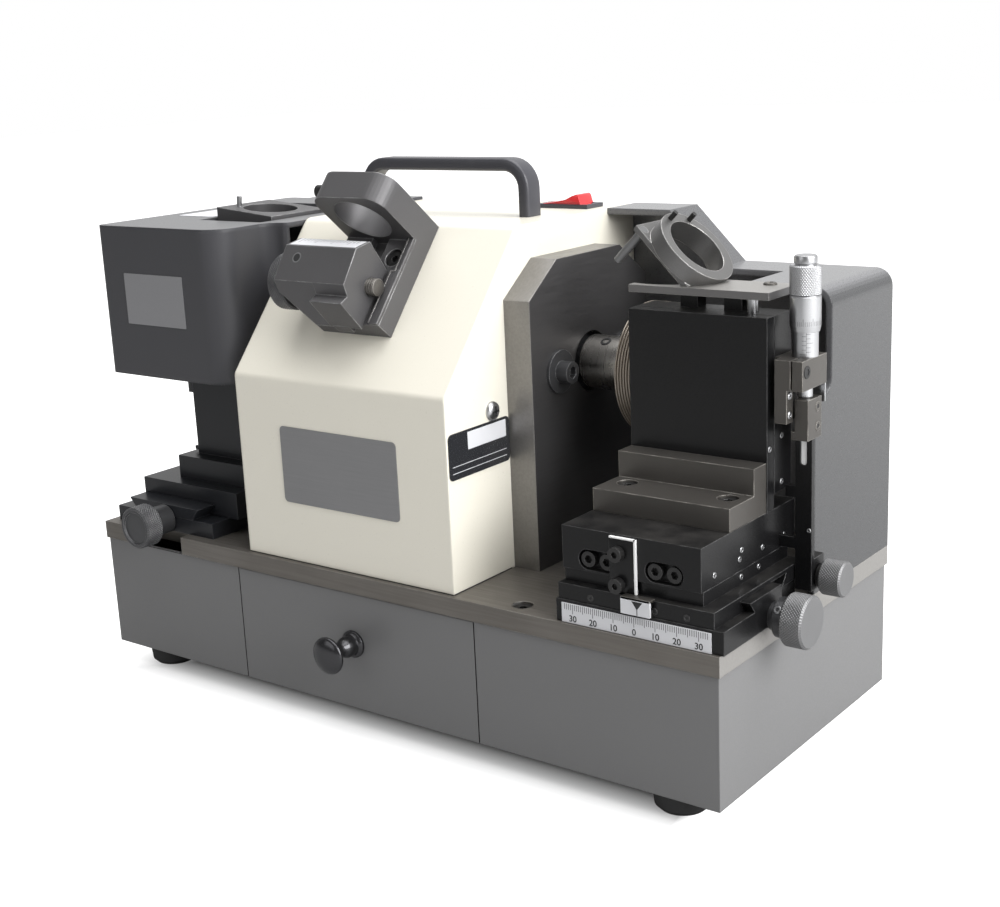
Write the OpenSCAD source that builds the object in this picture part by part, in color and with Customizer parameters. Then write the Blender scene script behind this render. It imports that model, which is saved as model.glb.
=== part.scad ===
// Tool and cutter grinder: two grinding stations on one motor, with a setting gauge between them.
// Lengths in millimetres. The pieces are drawn with x = 0 at the middle of the base plate,
// y = 0 at its front edge and z = 0 on its top face; in_frame() then moves them so that the
// origin lies under the middle of the whole machine, on the floor. +X right, +Y back, +Z up.

/* [Base] */
// Length of the base plate along the front
plate_l = 370; // [360:1:400]
// Depth of the base plate, front to back
plate_w = 160; // [158:1:175]
// Thickness of the base plate
plate_t = 9; // [8:0.5:14]
// Height of the folded box below the plate
box_h = 58.5; // [50:0.5:75]
// Sheet thickness of box, drawer and motor cover
sheet_t = 1.5; // [1.2:0.1:2]
// Radius of a rubber foot
foot_r = 13; // [10:0.5:16]
// Height of a rubber foot
foot_h = 10; // [6:1:20]

/* [Drawer] */
// Width of the drawer front
drawer_w = 147; // [130:1:155]
// Middle of the drawer front along x
drawer_x = -12; // [-20:1:0]
// Inner depth of the drawer tray
drawer_d = 128; // [90:1:140]
// Height of the tray sides
tray_h = 36; // [25:1:40]
// Radius of the drawer knob head
pull_r = 9; // [7:0.5:12]
// How far the drawer knob stands out
pull_l = 21; // [16:1:28]

/* [Motor cover] */
// Width of the cover along x
cover_w = 128.3; // [124:0.1:132]
// Middle of the cover along x
cover_x = -13.85; // [-16:0.05:-12]
// Height of the sloping face
slope_rise = 67.5; // [65:0.5:70]
// Angle of the sloping face
slope_deg = 49.9; // [46:0.1:54]
// Height of the flat top
cover_h = 156.5; // [154:0.5:160]
// Distance between the handle legs
handle_span = 97; // [80:1:100]
// Height of the carrying handle
handle_h = 27; // [22:1:40]
// Width of the handle strap
handle_w = 11; // [8:0.5:14]

/* [Spindle] */
// Distance of the spindle from the front edge of the plate
spin_y = 96; // [94:0.5:98]
// Depth of the spindle below the top of the cover
spin_drop = 66.5; // [63:0.5:72]
// Radius of the motor shaft
shaft_r = 8; // [7:0.25:9]
// Radius of the motor can
motor_r = 42; // [38:0.5:44]
// Radius of the grinding wheels
wheel_r = 30; // [27:0.5:32]
// Thickness of the grinding wheels
wheel_t = 8.5; // [7:0.5:10]
// Radius of the collar behind the right wheel
collar_r = 12.5; // [11:0.25:13]
// Thickness of the two end plates
end_t = 14.2; // [12:0.2:16]
// How far the end plates stay below the top of the cover
end_drop = 15.5; // [11:0.5:20]

/* [Right hood] */
// Sheet thickness of the right hood
hood_t = 3; // [2:0.25:3.5]
// How far the lower part of the roof lies below the raised part
hood_fall = 26; // [23:0.5:28]
// Front edge of the roof over the wheel
hood_mid_y = 134; // [128:0.5:140]
// Front edge of the roof beside the wall
hood_front_y = 98; // [95:0.5:104]
// Front edge of the wall near the plate
hood_foot_y = 82.5; // [82:0.5:86]

/* [Left hood] */
// Wall thickness of the left hood
cowl_t = 2.5; // [2:0.25:3]
// Height of the left hood
cowl_h = 76; // [70:0.5:82]
// Width of its front face
cowl_w = 88.5; // [82:0.5:90]
// Distance of its front face from the front edge of the plate
cowl_y = 10; // [6:0.5:14]

/* [Right stage] */
// Length of the lower slide base along x
xbase_l = 79.5; // [78:0.5:84]
// Height of the lower slide base
xbase_h = 10; // [9:0.5:12]
// Length of the saddle along x
saddle_l = 74; // [72:0.5:75]
// Thickness of the saddle
saddle_h = 7; // [6.5:0.25:9]
// Width of the cross slide block
block_w = 66; // [62:0.5:67]
// Length of the cross slide block along y
block_l = 79.5; // [76:0.5:80]
// Height of the cross slide block
block_h = 18.5; // [16:0.5:22]
// Height of the upright plate
upright_h = 82; // [78:0.5:84]
// Thickness of the upright plate
upright_t = 6; // [5:0.25:7]
// Thickness of the rising carriage
lift_t = 15; // [13:0.5:16]
// Radius of the feed knob
feed_r = 11.25; // [9:0.25:12.5]
// Length of the feed knob
feed_l = 10; // [8:0.5:14]

/* [Tool holder bores] */
// Radius of the three tool holder bores
bore_r = 14; // [12:0.25:14.5]
// Outer radius of the ring holder
ring_r = 19; // [18:0.25:20]
// Thickness of the ring
ring_t = 7.5; // [6:0.25:9]
// Angle of the ring axis from the vertical
ring_deg = 45; // [42:0.5:48]

/* [Micrometer] */
// Radius of the micrometer thimble
thimble_r = 6.5; // [6:0.1:7]
// Radius of the micrometer sleeve
sleeve_r = 5.4; // [5:0.05:5.5]
// Radius of the micrometer spindle
needle_r = 3.2; // [2.5:0.1:3.5]

/* [Setting gauge] */
// Width of the gauge bracket
gauge_w = 41.5; // [38:0.5:44]
// Length of the gauge bracket up the slope
gauge_l = 59; // [57:0.5:62]
// Thickness of the gauge bar
gauge_t = 10.5; // [9:0.25:12]
// Height of the lug above the slope
lug_h = 43.5; // [42:0.5:48]
// Radius of the gauge knob
gauge_knob_r = 13.3; // [11:0.1:15]

/* [Left stage] */
// Width of the left slide base
lbase_w = 72; // [70:0.5:74]
// Width of the left slide
lslide_w = 70; // [68:0.5:71]
// Radius of the left feed knob
lknob_r = 10.8; // [9:0.1:12]
// Angle of the port plate
port_deg = 5.4; // [4:0.1:7]

/* [Hidden] */
// Shared values
over = 1;
run_gap = 0.05;
snug_gap = 0.02;
slide_gap = 0.15;
rub_gap = 0.3;
corner_steps = 8;
round_fn = 64;
small_fn = 32;
half_turn = 180;

// Base values
box_inset = 1;
seam_gap = 0.6;
box_x = plate_l / 2 - box_inset;
box_y0 = box_inset;
box_y1 = plate_w - box_inset;
box_z1 = -plate_t;
box_z0 = box_z1 - box_h;
floor_z = plate_t + box_h + foot_h;
foot_side = 27;
foot_x = plate_l / 2 - foot_side;
foot_in = 16;
foot_edge = 2;
foot_taper_share = 0.93;
lug_size = 16;
lug_deep = 10;
plate_screw_x = 83.7;
plate_screw_left = 100;
plate_screw_in = 8.7;
cap_r = 4.2;
cap_hole_r = 4.6;
cap_h = 4;
cap_sink = 5;
screw_r = 2.5;
screw_l = 16;
socket_r = 1.9;
socket_deep = 2.2;
notch_half = 16.5;
notch_deep = 13;

// Drawer values
drawer_x0 = drawer_x - drawer_w / 2;
drawer_x1 = drawer_x + drawer_w / 2;
runner_t = 1.5;
runner_w = 12;
runner_side_h = 14;
runner_in = 2;
tray_x0 = drawer_x0 + runner_in + runner_t + slide_gap;
tray_x1 = drawer_x1 - runner_in - runner_t - slide_gap;
tray_z0 = box_z0 + sheet_t + runner_t;
pull_x = drawer_x + 1;
pull_z = box_z1 - 25.5;
pull_flange_r = 6.5;
pull_flange_t = 2.5;
pull_neck_r = 4.2;
pull_head_t = 7.5;
pull_edge = 2.2;
pull_pin_r = 3;
pull_pin_l = 4;

// Cover values
cover_x0 = cover_x - cover_w / 2;
cover_x1 = cover_x + cover_w / 2;
cover_y0 = 2.7;
cover_y1 = plate_w - 0.5;
fold_z = cover_h - slope_rise;
slope_y = cover_y0 + slope_rise / tan(slope_deg);
fold_r = 4;
crest_r = 6;
back_r = 4;
fold_in_z = fold_z - sheet_t * cos(slope_deg) + sheet_t * (1 - sin(slope_deg)) * tan(slope_deg);
slope_in_y = cover_y0 + sheet_t * sin(slope_deg)
    + (cover_h - sheet_t - fold_z + sheet_t * cos(slope_deg)) / tan(slope_deg);
window_lap = 4;
cover_screw_y = 36;
cover_screw_drop = 12;
cover_screw_z = fold_z - cover_screw_drop;
pan_r = 4.4;
pan_h = 2.4;
pan_shank_r = 2;
pan_shank_l = 6;
handle_y = 95;
handle_off = 2;
handle_x = cover_x - handle_off;
handle_t = 6;
handle_r = 14;
handle_in_r = handle_r - handle_t;
handle_base_l = 8;

// Switch values
switch_in = 22;
switch_x = cover_x1 - switch_in;
switch_y = 134;
switch_l = 30;
switch_w = 14;
switch_rim = 1.2;
switch_lip = 2;
switch_deep = 20;
rocker_low = 2;
rocker_high = 7.5;
rocker_pin_r = 1.2;
rocker_drop = 1;
rocker_gap = 0.6;
rocker_foot = 2;
rocker_deep = 5;

// Inlet values
inlet_x = 120;
inlet_z = box_z1 - 30;
inlet_w = 31;
inlet_h = 25;
inlet_lip = 2.5;
inlet_body_w = 27;
inlet_body_h = 20;
inlet_deep = 20;
inlet_hole_w = 24;
inlet_hole_h = 16;
inlet_hole_deep = 16;
blade_l = 9;
blade_w = 4;
blade_t = 2;
blade_pitch = 7;

// Spindle values
motor_wall = 4;
bell_t = 12;
stator_l = 60;
stator_r0 = 24;
rotor_r = 23.4;
bearing_r = 17.5;
bearing_l = 10;
throat_r = 14.2;
bolt_pitch = 27;
bolt_r = 3;
bolt_head_r = 5;
bolt_head_h = 6;
bolt_l = 22;
washer_r = 10;
washer_t = 1.6;
collar_gap = 1.2;
left_collar_l = 7;
left_collar_r = 11;
spin_z = cover_h - spin_drop;
end_h = cover_h - end_drop;
end_y0 = 48;
end_y1 = 2 * spin_y - end_y0;
end_cut_y = 22;
end_cut_z = 16;
end_x1 = cover_x1 + end_t;
end_x0 = cover_x0 - end_t;
xbase_over = 1.2;
stage_gap = 2;
sx = plate_l / 2 + xbase_over - xbase_l;
wheel_x1 = sx - stage_gap;
wheel_x0 = wheel_x1 - wheel_t;
left_wheel_x1 = end_x0 - collar_gap - left_collar_l;
left_wheel_x0 = left_wheel_x1 - wheel_t;
wheel_edge = 0.8;
flange_r = 9.5;
flange_t = 1.5;
arbor_head_r = 4.5;
arbor_head_h = 1;
arbor_r = 3;
arbor_l = 14;

// Right hood values
hood_x0 = cover_x1;
hood_x3 = plate_l / 2;
hood_flat_l = 74;
hood_slope_l = 26;
hood_x2 = hood_x3 - hood_flat_l;
hood_x1 = hood_x2 - hood_slope_l;
hood_high = cover_h;
hood_low = hood_high - hood_fall;
hood_y1 = plate_w;
hood_r = 8;
hood_notch_in = 41;
hood_notch_x = hood_x3 - hood_notch_in;
hood_step_drop = 44.5;
hood_step_z = hood_low - hood_step_drop;
hood_step_r = 9;
hood_rise_deg = atan2(hood_high - hood_low, hood_x2 - hood_x1);
hood_shift = hood_t * tan(hood_rise_deg / 2);

// Left hood values
cowl_x1 = end_x0 + 2.2;
cowl_x0 = cowl_x1 - cowl_w;
cowl_x2 = cover_x0 - 0.8;
cowl_step_y = end_y0 - cowl_t;
cowl_y1 = 150;
cowl_drop = 1;
cowl_top = cover_h - cowl_drop;
cowl_z = cowl_top - cowl_h;
cowl_edge_r = 4;
cowl_front_r = 14;
cowl_step_r = 8;
cowl_lobe_r = 4;
lstage_gap = 51.3;
lstage_xm = end_x0 - lstage_gap;
cowl_open_x0 = lstage_xm + 4.5;
cowl_open_x1 = lstage_xm + 48.5;
cowl_open_y0 = 44;
cowl_open_y1 = 102;
cowl_pad_in = 35;
cowl_pad_x0 = cowl_x0 + cowl_pad_in;
cowl_pad_y0 = 104;
cowl_pad_h = 2.5;

// Right stage values
xbase_x1 = sx + xbase_l;
xbase_y0 = 1.5;
xbase_y1 = 79;
xbase_end_y = 50;
xbase_end_l = 8.5;
xdove_y = 43;
dove_h = 5;
dove_neck = 16;
dove_wide = 20;
xchan_half = 6;
xchan_z = 0.4;
xchan_end = 6;
feed_y = xdove_y;
feed_z = 3.6;
feed_screw_r = 3;
feed_hub_r = 6;
feed_hub_l = 7;
feed_screw_in = 8;
feed_x0 = xbase_x1 + feed_hub_l + rub_gap;
feed_edge = 1;
strip_x0 = sx + 3;
strip_l = 71;
strip_z0 = 0.2;
strip_h = 8.5;
strip_t = 0.5;
saddle_x0 = sx + 1;
saddle_x1 = saddle_x0 + saddle_l;
saddle_y0 = 2;
saddle_y1 = 79;
saddle_z1 = xbase_h + saddle_h;
nut_x0 = sx + 32;
nut_l = 20;
nut_half = 5;
nut_z0 = 0.9;
guide_h = 6;
guide_y0 = 6;
guide_y1 = 78;
block_x0 = sx + 2;
block_x1 = block_x0 + block_w;
block_xm = (block_x0 + block_x1) / 2;
block_y0 = 4.5;
block_y1 = block_y0 + block_l;
block_z0 = saddle_z1 + guide_h;
block_z1 = block_z0 + block_h;
ydove_neck = 14;
ydove_wide = 18;
ydove_y0 = 17;
slot_from_mid = 16;
slot_pitch = 9;
slot_r = 4.4;
slot_deep = 3.5;
slot_up = 5.2;
gib_r = 3.4;
gib_head = 3;
gib_shank_r = 1.7;
gib_l = 8;
pointer_x0 = block_x0 + 24;
pointer_w = 12.6;
pointer_t = 1.5;
pointer_z0 = saddle_z1 + rub_gap;
pointer_z1 = block_z1 - 0.8;
pointer_hang = 3;
tab_x0 = pointer_x0 + 7.6;
tab_x1 = pointer_x0 + 21.4;
tab_y0 = -1;
tab_t = 1;
tab_z0 = xbase_h + 0.3;
pointer_screw_x = pointer_x0 + 4.4;
pointer_screw_up = 11;
pointer_screw_low = 3.3;
pointer_cap_r = 3.2;
pointer_cap_h = 3;
pointer_shank_r = 1.5;
pointer_shank_l = 8;
angle_y0 = 27.5;
angle_t = 10;
angle_leg_y = 48;
angle_leg_h = 21.5;
angle_hole_in = 8.7;
angle_hole_y = 41.2;
upright_y0 = 58.5;
upright_y1 = upright_y0 + upright_t;
upright_x0 = block_x0 + 0.5;
upright_x1 = block_x1 + 0.5;
upright_xm = (upright_x0 + upright_x1) / 2;
upright_z1 = block_z1 + upright_h;
zdove_neck = 14;
zdove_wide = 18;
zdove_z0 = block_z1 + 4;
lift_y0 = upright_y1 + 0.5;
lift_y1 = lift_y0 + lift_t;
lift_z0 = block_z1 + 7;
riser_h = 6.8;
riser_x0 = upright_x0 + 19;
riser_x1 = upright_x0 + 40;
riser_w = 8.5;
riser_back = 0.6;
riser_y0 = upright_y1 + dove_h + riser_back;
riser_d = 7;
standoff_x = upright_x0 + 52;
standoff_r = 2.5;
top_t = 3.2;
top_relief = 0.5;
top_y0 = 60;
top_y1 = 86;
top_z0 = upright_z1 + riser_h;
top_z1 = top_z0 + top_t;
top_x0 = upright_x0 - 0.5;

// Ring holder values
ring_x = upright_x0 + 23;
ring_y = 78;
ring_up = 15;
ring_z = top_z1 + ring_up;
ring_edge = 1;
flange_back = 2.5;
flange_up = 21.5;
flange_y0 = -15.5;
flange_y1 = 19;
ring_pin_r = 1.9;
ring_pin_x = -18.6;
ring_pin_y = -12.3;
ring_pin_l = 17;
index_r = 1.15;
index_at = 16.4;
index_deep = 4;
index_out = 4.2;
index_low_deg = 10;
index_high_deg = 35;

// Micrometer values
mic_out = 10;
mic_x = upright_x1 + mic_out;
mic_y = 72.5;
mic_front_t = 8;
mic_plate_t = mic_out - needle_r - 2 * rub_gap;
mic_plate_y0 = 65.5;
mic_plate_y1 = 79;
mic_plate_z0 = block_z1 + 38.5;
mic_block_z0 = block_z1 + 52.5;
mic_block_z1 = block_z1 + 65;
mic_front_x0 = upright_x1 + 2.5;
mic_front_y0 = 60;
mic_block_x1 = mic_x + 5;
mic_block_y1 = 82;
mic_slit = 0.8;
shank_step = 1.4;
shank_r = sleeve_r - shank_step;
sleeve_z1 = mic_block_z1 + 22;
thimble_z0 = mic_block_z1 + 10.4;
thimble_z1 = mic_block_z1 + 37.3;
thimble_wall_top = 7;
thimble_in_r = sleeve_r + rub_gap;
thimble_cap_r = 5.2;
thimble_cap_h = 4;
anvil_z0 = block_z1 + 30.7;
anvil_z1 = block_z1 + 47.8;
anvil_x0 = upright_x1 + mic_front_t + 2 * rub_gap;
anvil_y0 = 66;
anvil_y1 = 78.3;
anvil_foot_h = 3.5;
bar_x0 = saddle_x1 + 0.5;
bar_w = 7.6;
bar_x1 = bar_x0 + bar_w;
bar_xm = bar_x0 + bar_w / 2;
bar_y0 = 70;
bar_y1 = 72.5;
bar_z0 = 6;
bar_foot_y1 = hood_foot_y - 2 * rub_gap;
bar_foot_z1 = 20;
bar_spacer_low = 1;
bar_spacer_high = 6;
bar_arm_z0 = block_z1 + 5;
bar_arm_h = 5;
bar_slot_half = 1.4;
bar_slot_l = 10;
lock_y = 77.6;
lock_z = 11.2;
lock_r = 7.8;
lock_l = 10;
lock_stud_r = 3;
lock_neck_r = 5;
lock_neck_l = 2.2;

// Gauge values
gauge_x0 = cover_x - gauge_w / 2 + 0.6;
gauge_x1 = gauge_x0 + gauge_w;
gauge_xm = (gauge_x0 + gauge_x1) / 2;
gauge_u0 = 27;
gauge_u1 = gauge_u0 + gauge_l;
lug_t = 14;
lug_u0 = gauge_u1 - lug_t;
lug_r = 9;
lug_bore_d = 26;
key_half = 5;
key_deep = 4;
gauge_screw_u = 62.3;
gauge_screw_in = 8.5;
car_x0 = gauge_x0 - 10;
car_x1 = gauge_x1 - 8.5;
car_u0 = 24.5;
car_u1 = 55;
car_low_u = 26.5;
car_low_d = 29;
car_step_u = 31.5;
car_step_d = 27;
car_lip_u = 34.5;
car_lip_d = 32;
car_face_u = 52;
car_face_d = 34;
car_crest_u = 59.5;
car_crest_d = 28;
car_cut_x = 16;
car_notch_x = car_x0 + 24;
car_screw_u = 43;
car_screw_d = 16.5;
car_screw_r = 4;
car_screw_out = 5;
gauge_knob_l = 9;
gauge_knob_edge = 1;

// Left stage values
lbase_x0 = lstage_xm - lbase_w / 2 - 0.5;
lbase_y0 = 6;
lbase_y1 = 100;
lbase_h = 8;
ldove_h = 6;
ldove_neck = 21;
ldove_wide = 26;
ldove_y0 = 5.7;
lslide_x0 = lstage_xm - 27.5;
lslide_y0 = 17.5;
lslide_y1 = 90;
lslide_z0 = lbase_h + rub_gap;
lslide_z1 = 22;
lknob_x = lstage_xm + 1;
lknob_z = 6.3;
lscrew_r = 3.5;
lscrew_l = 78;
lknob_y0 = -15;
lknob_l = 10;
lknob_edge = 1;
lhub_r = 7.5;
lnut_half = 5;
lnut_z0 = 1.8;
lnut_y0 = 46;
lnut_l = 18;
lslot_half = 5.5;
lslot_z = 1.2;
lslot_y0 = 30;
lslot_y1 = 80;
riser_block_x0 = lstage_xm - 9;
riser_block_x1 = lstage_xm + 39.5;
riser_block_y0 = 26.6;
riser_block_y1 = 60;
riser_block_h = 12;
col_x0 = lstage_xm - 2.5;
col_y0 = 35;
col_y1 = 53;
shelf_t = 7;
port_drop = 3.1;
port_z0 = cowl_top - port_drop;
port_x0 = lstage_xm + 7.5;
port_x1 = lstage_xm + 46.5;
port_y0 = 54;
port_y1 = 92;
port_right_h = 4.9;
port_xm = (port_x0 + port_x1) / 2;
port_ym = (port_y0 + port_y1) / 2;
port_left_h = port_right_h + (port_x1 - port_x0) * tan(port_deg);
port_mid_h = (port_left_h + port_right_h) / 2;
port_relief_r = 17;
pin_in_x = 5;
pin_in_y = 11;
pin_r = 1.3;
pin_out = 5;
pin_in = 4;

// Overall extents, used for the origin
all_x0 = -plate_l / 2;
all_x1 = feed_x0 + feed_l;
all_y0 = box_y0 - pull_l;
all_y1 = box_y1 + inlet_lip;
origin_x = (all_x0 + all_x1) / 2;
origin_y = (all_y0 + all_y1) / 2;

// Corner rounding for outlines
function unit(v) = v / norm(v);
function turned(v, a) = [v.x * cos(a) - v.y * sin(a), v.x * sin(a) + v.y * cos(a)];
function corner(a, b, c, r) = r == 0 ? [b] :
    let (u = unit(a - b), v = unit(c - b), half = acos(u * v) / 2, mid = b + unit(u + v) * r / sin(half))
    let (s = b + u * r / tan(half) - mid, e = b + v * r / tan(half) - mid)
    let (side = s.x * e.y - s.y * e.x > 0 ? 1 : -1, sweep = half_turn - 2 * half)
    [for (i = [0 : corner_steps]) mid + turned(s, side * sweep * i / corner_steps)];
function rounded(p, r) = let (n = len(p))
    [for (i = [0 : n - 1]) each corner(p[(i + n - 1) % n], p[i], p[(i + 1) % n], r[i])];

// Placing helpers
module in_frame() {
    translate([-origin_x, -origin_y, floor_z]) children();
}

module on_slope() {
    translate([0, cover_y0, fold_z]) rotate([slope_deg, 0, 0]) children();
}

module on_ring() {
    translate([ring_x, ring_y, ring_z]) rotate([0, ring_deg, 0]) children();
}

module block(x0, x1, y0, y1, z0, z1) {
    translate([x0, y0, z0]) cube([x1 - x0, y1 - y0, z1 - z0]);
}

module rod_x(x0, x1, y, z, r) {
    translate([x0, y, z]) rotate([0, 90, 0]) cylinder(h = x1 - x0, r = r, $fn = round_fn);
}

module rod_y(y0, y1, x, z, r) {
    translate([x, y0, z]) rotate([-90, 0, 0]) cylinder(h = y1 - y0, r = r, $fn = round_fn);
}

module rod_z(z0, z1, x, y, r) {
    translate([x, y, z0]) cylinder(h = z1 - z0, r = r, $fn = round_fn);
}

module prism_x(x0, x1, points) {
    translate([x0, 0, 0]) rotate([90, 0, 90]) linear_extrude(height = x1 - x0) polygon(points);
}

module prism_y(y0, y1, points) {
    translate([0, y1, 0]) rotate([90, 0, 0]) linear_extrude(height = y1 - y0) polygon(points);
}

module prism_z(z0, z1, points) {
    translate([0, 0, z0]) linear_extrude(height = z1 - z0) polygon(points);
}

module turned_x(x0, y, z, points) {
    translate([x0, y, z]) rotate([0, 90, 0]) rotate_extrude($fn = round_fn) polygon(points);
}

module cap_screw(head_r, head_h, shank_r, shank_l, hex_r, hex_deep) {
    difference() {
        union() {
            cylinder(h = head_h, r = head_r, $fn = small_fn);
            translate([0, 0, -shank_l]) cylinder(h = shank_l + head_h / 2, r = shank_r, $fn = small_fn);
        }
        translate([0, 0, head_h - hex_deep]) cylinder(h = hex_deep + over, r = hex_r, $fn = 6);
    }
}

// Base
module plate_screw_places() {
    translate([plate_screw_x, plate_screw_in, 0]) children();
    translate([plate_screw_x, plate_w - plate_screw_in, 0]) children();
    translate([-plate_screw_left, plate_w - plate_screw_in, 0]) children();
}

module base_box() {
    color("whitesmoke") in_frame() difference() {
        union() {
            difference() {
                block(-box_x, box_x, box_y0, box_y1, box_z0, box_z1);
                block(-box_x + sheet_t, box_x - sheet_t, box_y0 + sheet_t, box_y1 - sheet_t,
                    box_z0 + sheet_t, box_z1 + over);
            }
            block(plate_screw_x - lug_size / 2, plate_screw_x + lug_size / 2, box_y0, box_y0 + lug_size,
                box_z1 - lug_deep, box_z1);
            block(plate_screw_x - lug_size / 2, plate_screw_x + lug_size / 2, box_y1 - lug_size, box_y1,
                box_z1 - lug_deep, box_z1);
            block(-plate_screw_left - lug_size / 2, -plate_screw_left + lug_size / 2, box_y1 - lug_size,
                box_y1, box_z1 - lug_deep, box_z1);
        }
        block(drawer_x0 - seam_gap, drawer_x1 + seam_gap, box_y0 - over, box_y0 + sheet_t + seam_gap,
            box_z0 - over, box_z1 + over);
        plate_screw_places() translate([0, 0, -screw_l]) cylinder(h = screw_l, r = screw_r + snug_gap, $fn = small_fn);
        block(inlet_x - inlet_body_w / 2 - snug_gap, inlet_x + inlet_body_w / 2 + snug_gap,
            box_y1 - sheet_t - over, box_y1 + over, inlet_z - inlet_body_h / 2 - snug_gap,
            inlet_z + inlet_body_h / 2 + snug_gap);
    }
}

module base_plate() {
    color("silver") in_frame() difference() {
        block(-plate_l / 2, plate_l / 2, 0, plate_w, -plate_t, 0);
        block(lknob_x - notch_half, lknob_x + notch_half, -over, notch_deep, -plate_t - over, over);
        plate_screw_places() translate([0, 0, -cap_sink]) cylinder(h = cap_sink + over, r = cap_hole_r, $fn = small_fn);
        plate_screw_places() translate([0, 0, -screw_l]) cylinder(h = screw_l, r = screw_r + rub_gap, $fn = small_fn);
    }
}

module base_screws() {
    color("dimgray") in_frame() {
        plate_screw_places() translate([0, 0, -cap_sink])
            cap_screw(cap_r, cap_h, screw_r, screw_l - cap_sink, socket_r, socket_deep);
        on_slope() gauge_screw_places() translate([0, 0, gauge_t - cap_sink])
            cap_screw(cap_r, cap_h, screw_r, gauge_t - cap_sink, socket_r, socket_deep);
    }
}

module rubber_feet() {
    color("black") in_frame() for (side = [-1, 1]) for (y = [foot_in, plate_w - foot_in])
        translate([side * foot_x, y, -floor_z]) rotate_extrude($fn = round_fn)
            polygon([[0, 0], [foot_r * foot_taper_share - foot_edge, 0], [foot_r * foot_taper_share, foot_edge],
                [foot_r, foot_h], [0, foot_h]]);
}

// Drawer
module runner() {
    block(drawer_x0 + runner_in, drawer_x0 + runner_in + runner_w, box_y0 + sheet_t + seam_gap,
        box_y1 - sheet_t, box_z0 + sheet_t, box_z0 + sheet_t + runner_t);
    block(drawer_x0 + runner_in, drawer_x0 + runner_in + runner_t, box_y0 + sheet_t + seam_gap,
        box_y1 - sheet_t, box_z0 + sheet_t, box_z0 + sheet_t + runner_side_h);
}

module drawer_runners() {
    color("lightgray") in_frame() {
        runner();
        translate([2 * drawer_x, 0, 0]) mirror([1, 0, 0]) runner();
    }
}

module drawer_tray() {
    color("whitesmoke") in_frame() difference() {
        union() {
            block(drawer_x0, drawer_x1, box_y0, box_y0 + sheet_t, box_z0, box_z1 - seam_gap);
            difference() {
                block(tray_x0, tray_x1, box_y0, box_y0 + drawer_d, tray_z0, tray_z0 + tray_h);
                block(tray_x0 + sheet_t, tray_x1 - sheet_t, box_y0 + sheet_t, box_y0 + drawer_d - sheet_t,
                    tray_z0 + sheet_t, tray_z0 + tray_h + over);
            }
        }
        rod_y(box_y0 - over, box_y0 + sheet_t + over, pull_x, pull_z, pull_pin_r + snug_gap);
    }
}

module drawer_knob() {
    color("silver") in_frame() translate([pull_x, box_y0, pull_z]) rotate([90, 0, 0]) {
        rotate_extrude($fn = round_fn) polygon([[0, 0], [pull_flange_r, 0], [pull_flange_r, pull_flange_t],
            [pull_neck_r, 2 * pull_flange_t], [pull_neck_r, pull_l - pull_head_t],
            [pull_r - pull_edge / 2, pull_l - pull_head_t], [pull_r, pull_l - pull_head_t + pull_edge],
            [pull_r, pull_l - pull_edge], [pull_r - pull_edge, pull_l], [0, pull_l]]);
        translate([0, 0, -pull_pin_l]) cylinder(h = pull_pin_l + pull_flange_t, r = pull_pin_r, $fn = small_fn);
    }
}

// Motor cover
function end_outline(lap) = [[end_y0 + lap, -over], [end_y1 - lap, -over], [end_y1 - lap, end_h - end_cut_z - lap / 2],
    [end_y1 - end_cut_y - lap / 2, end_h - lap], [end_y0 + end_cut_y + lap / 2, end_h - lap],
    [end_y0 + lap, end_h - end_cut_z - lap / 2]];

module motor_cover() {
    outer = [[cover_y0, 0], [cover_y0, fold_z], [slope_y, cover_h], [cover_y1, cover_h], [cover_y1, 0]];
    inner = [[cover_y0 + sheet_t, -over], [cover_y0 + sheet_t, fold_in_z], [slope_in_y, cover_h - sheet_t],
        [cover_y1 - sheet_t, cover_h - sheet_t], [cover_y1 - sheet_t, -over]];
    color("white") in_frame() difference() {
        prism_x(cover_x0, cover_x1, rounded(outer, [0, fold_r, crest_r, back_r, 0]));
        prism_x(cover_x0 + sheet_t, cover_x1 - sheet_t,
            rounded(inner, [0, fold_r - sheet_t, crest_r - sheet_t, back_r - sheet_t, 0]));
        prism_x(cover_x0 - over, cover_x1 + over, end_outline(window_lap));
        block(switch_x - switch_l / 2 + switch_rim, switch_x + switch_l / 2 - switch_rim,
            switch_y - switch_w / 2 + switch_rim, switch_y + switch_w / 2 - switch_rim,
            cover_h - sheet_t - over, cover_h + over);
        rod_x(cover_x0 - over, cover_x1 + over, cover_screw_y, cover_screw_z, pan_shank_r + snug_gap);
    }
}

module cover_screw() {
    rotate([0, 90, 0]) {
        rotate_extrude($fn = small_fn) polygon([[0, 0], [pan_r, 0], [pan_r, pan_h / 2], [pan_r / 2, pan_h], [0, pan_h]]);
        translate([0, 0, -pan_shank_l]) cylinder(h = pan_shank_l + pan_h / 2, r = pan_shank_r, $fn = small_fn);
    }
}

module cover_screws() {
    color("silver") in_frame() {
        translate([cover_x1, cover_screw_y, cover_screw_z]) cover_screw();
        translate([cover_x0, cover_screw_y, cover_screw_z]) mirror([1, 0, 0]) cover_screw();
    }
}

module carry_handle() {
    out_x = handle_span / 2 + handle_t / 2;
    in_x = handle_span / 2 - handle_t / 2;
    top = cover_h + handle_h;
    color("black") in_frame() translate([handle_x, 0, 0]) difference() {
        prism_y(handle_y - handle_w / 2, handle_y + handle_w / 2, rounded([[-out_x, cover_h], [-out_x, top],
            [out_x, top], [out_x, cover_h]], [0, handle_r, handle_r, 0]));
        prism_y(handle_y - handle_w / 2 - over, handle_y + handle_w / 2 + over,
            rounded([[-in_x, cover_h - over], [-in_x, top - handle_t], [in_x, top - handle_t],
            [in_x, cover_h - over]], [0, handle_in_r, handle_in_r, 0]));
    }
}

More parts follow.
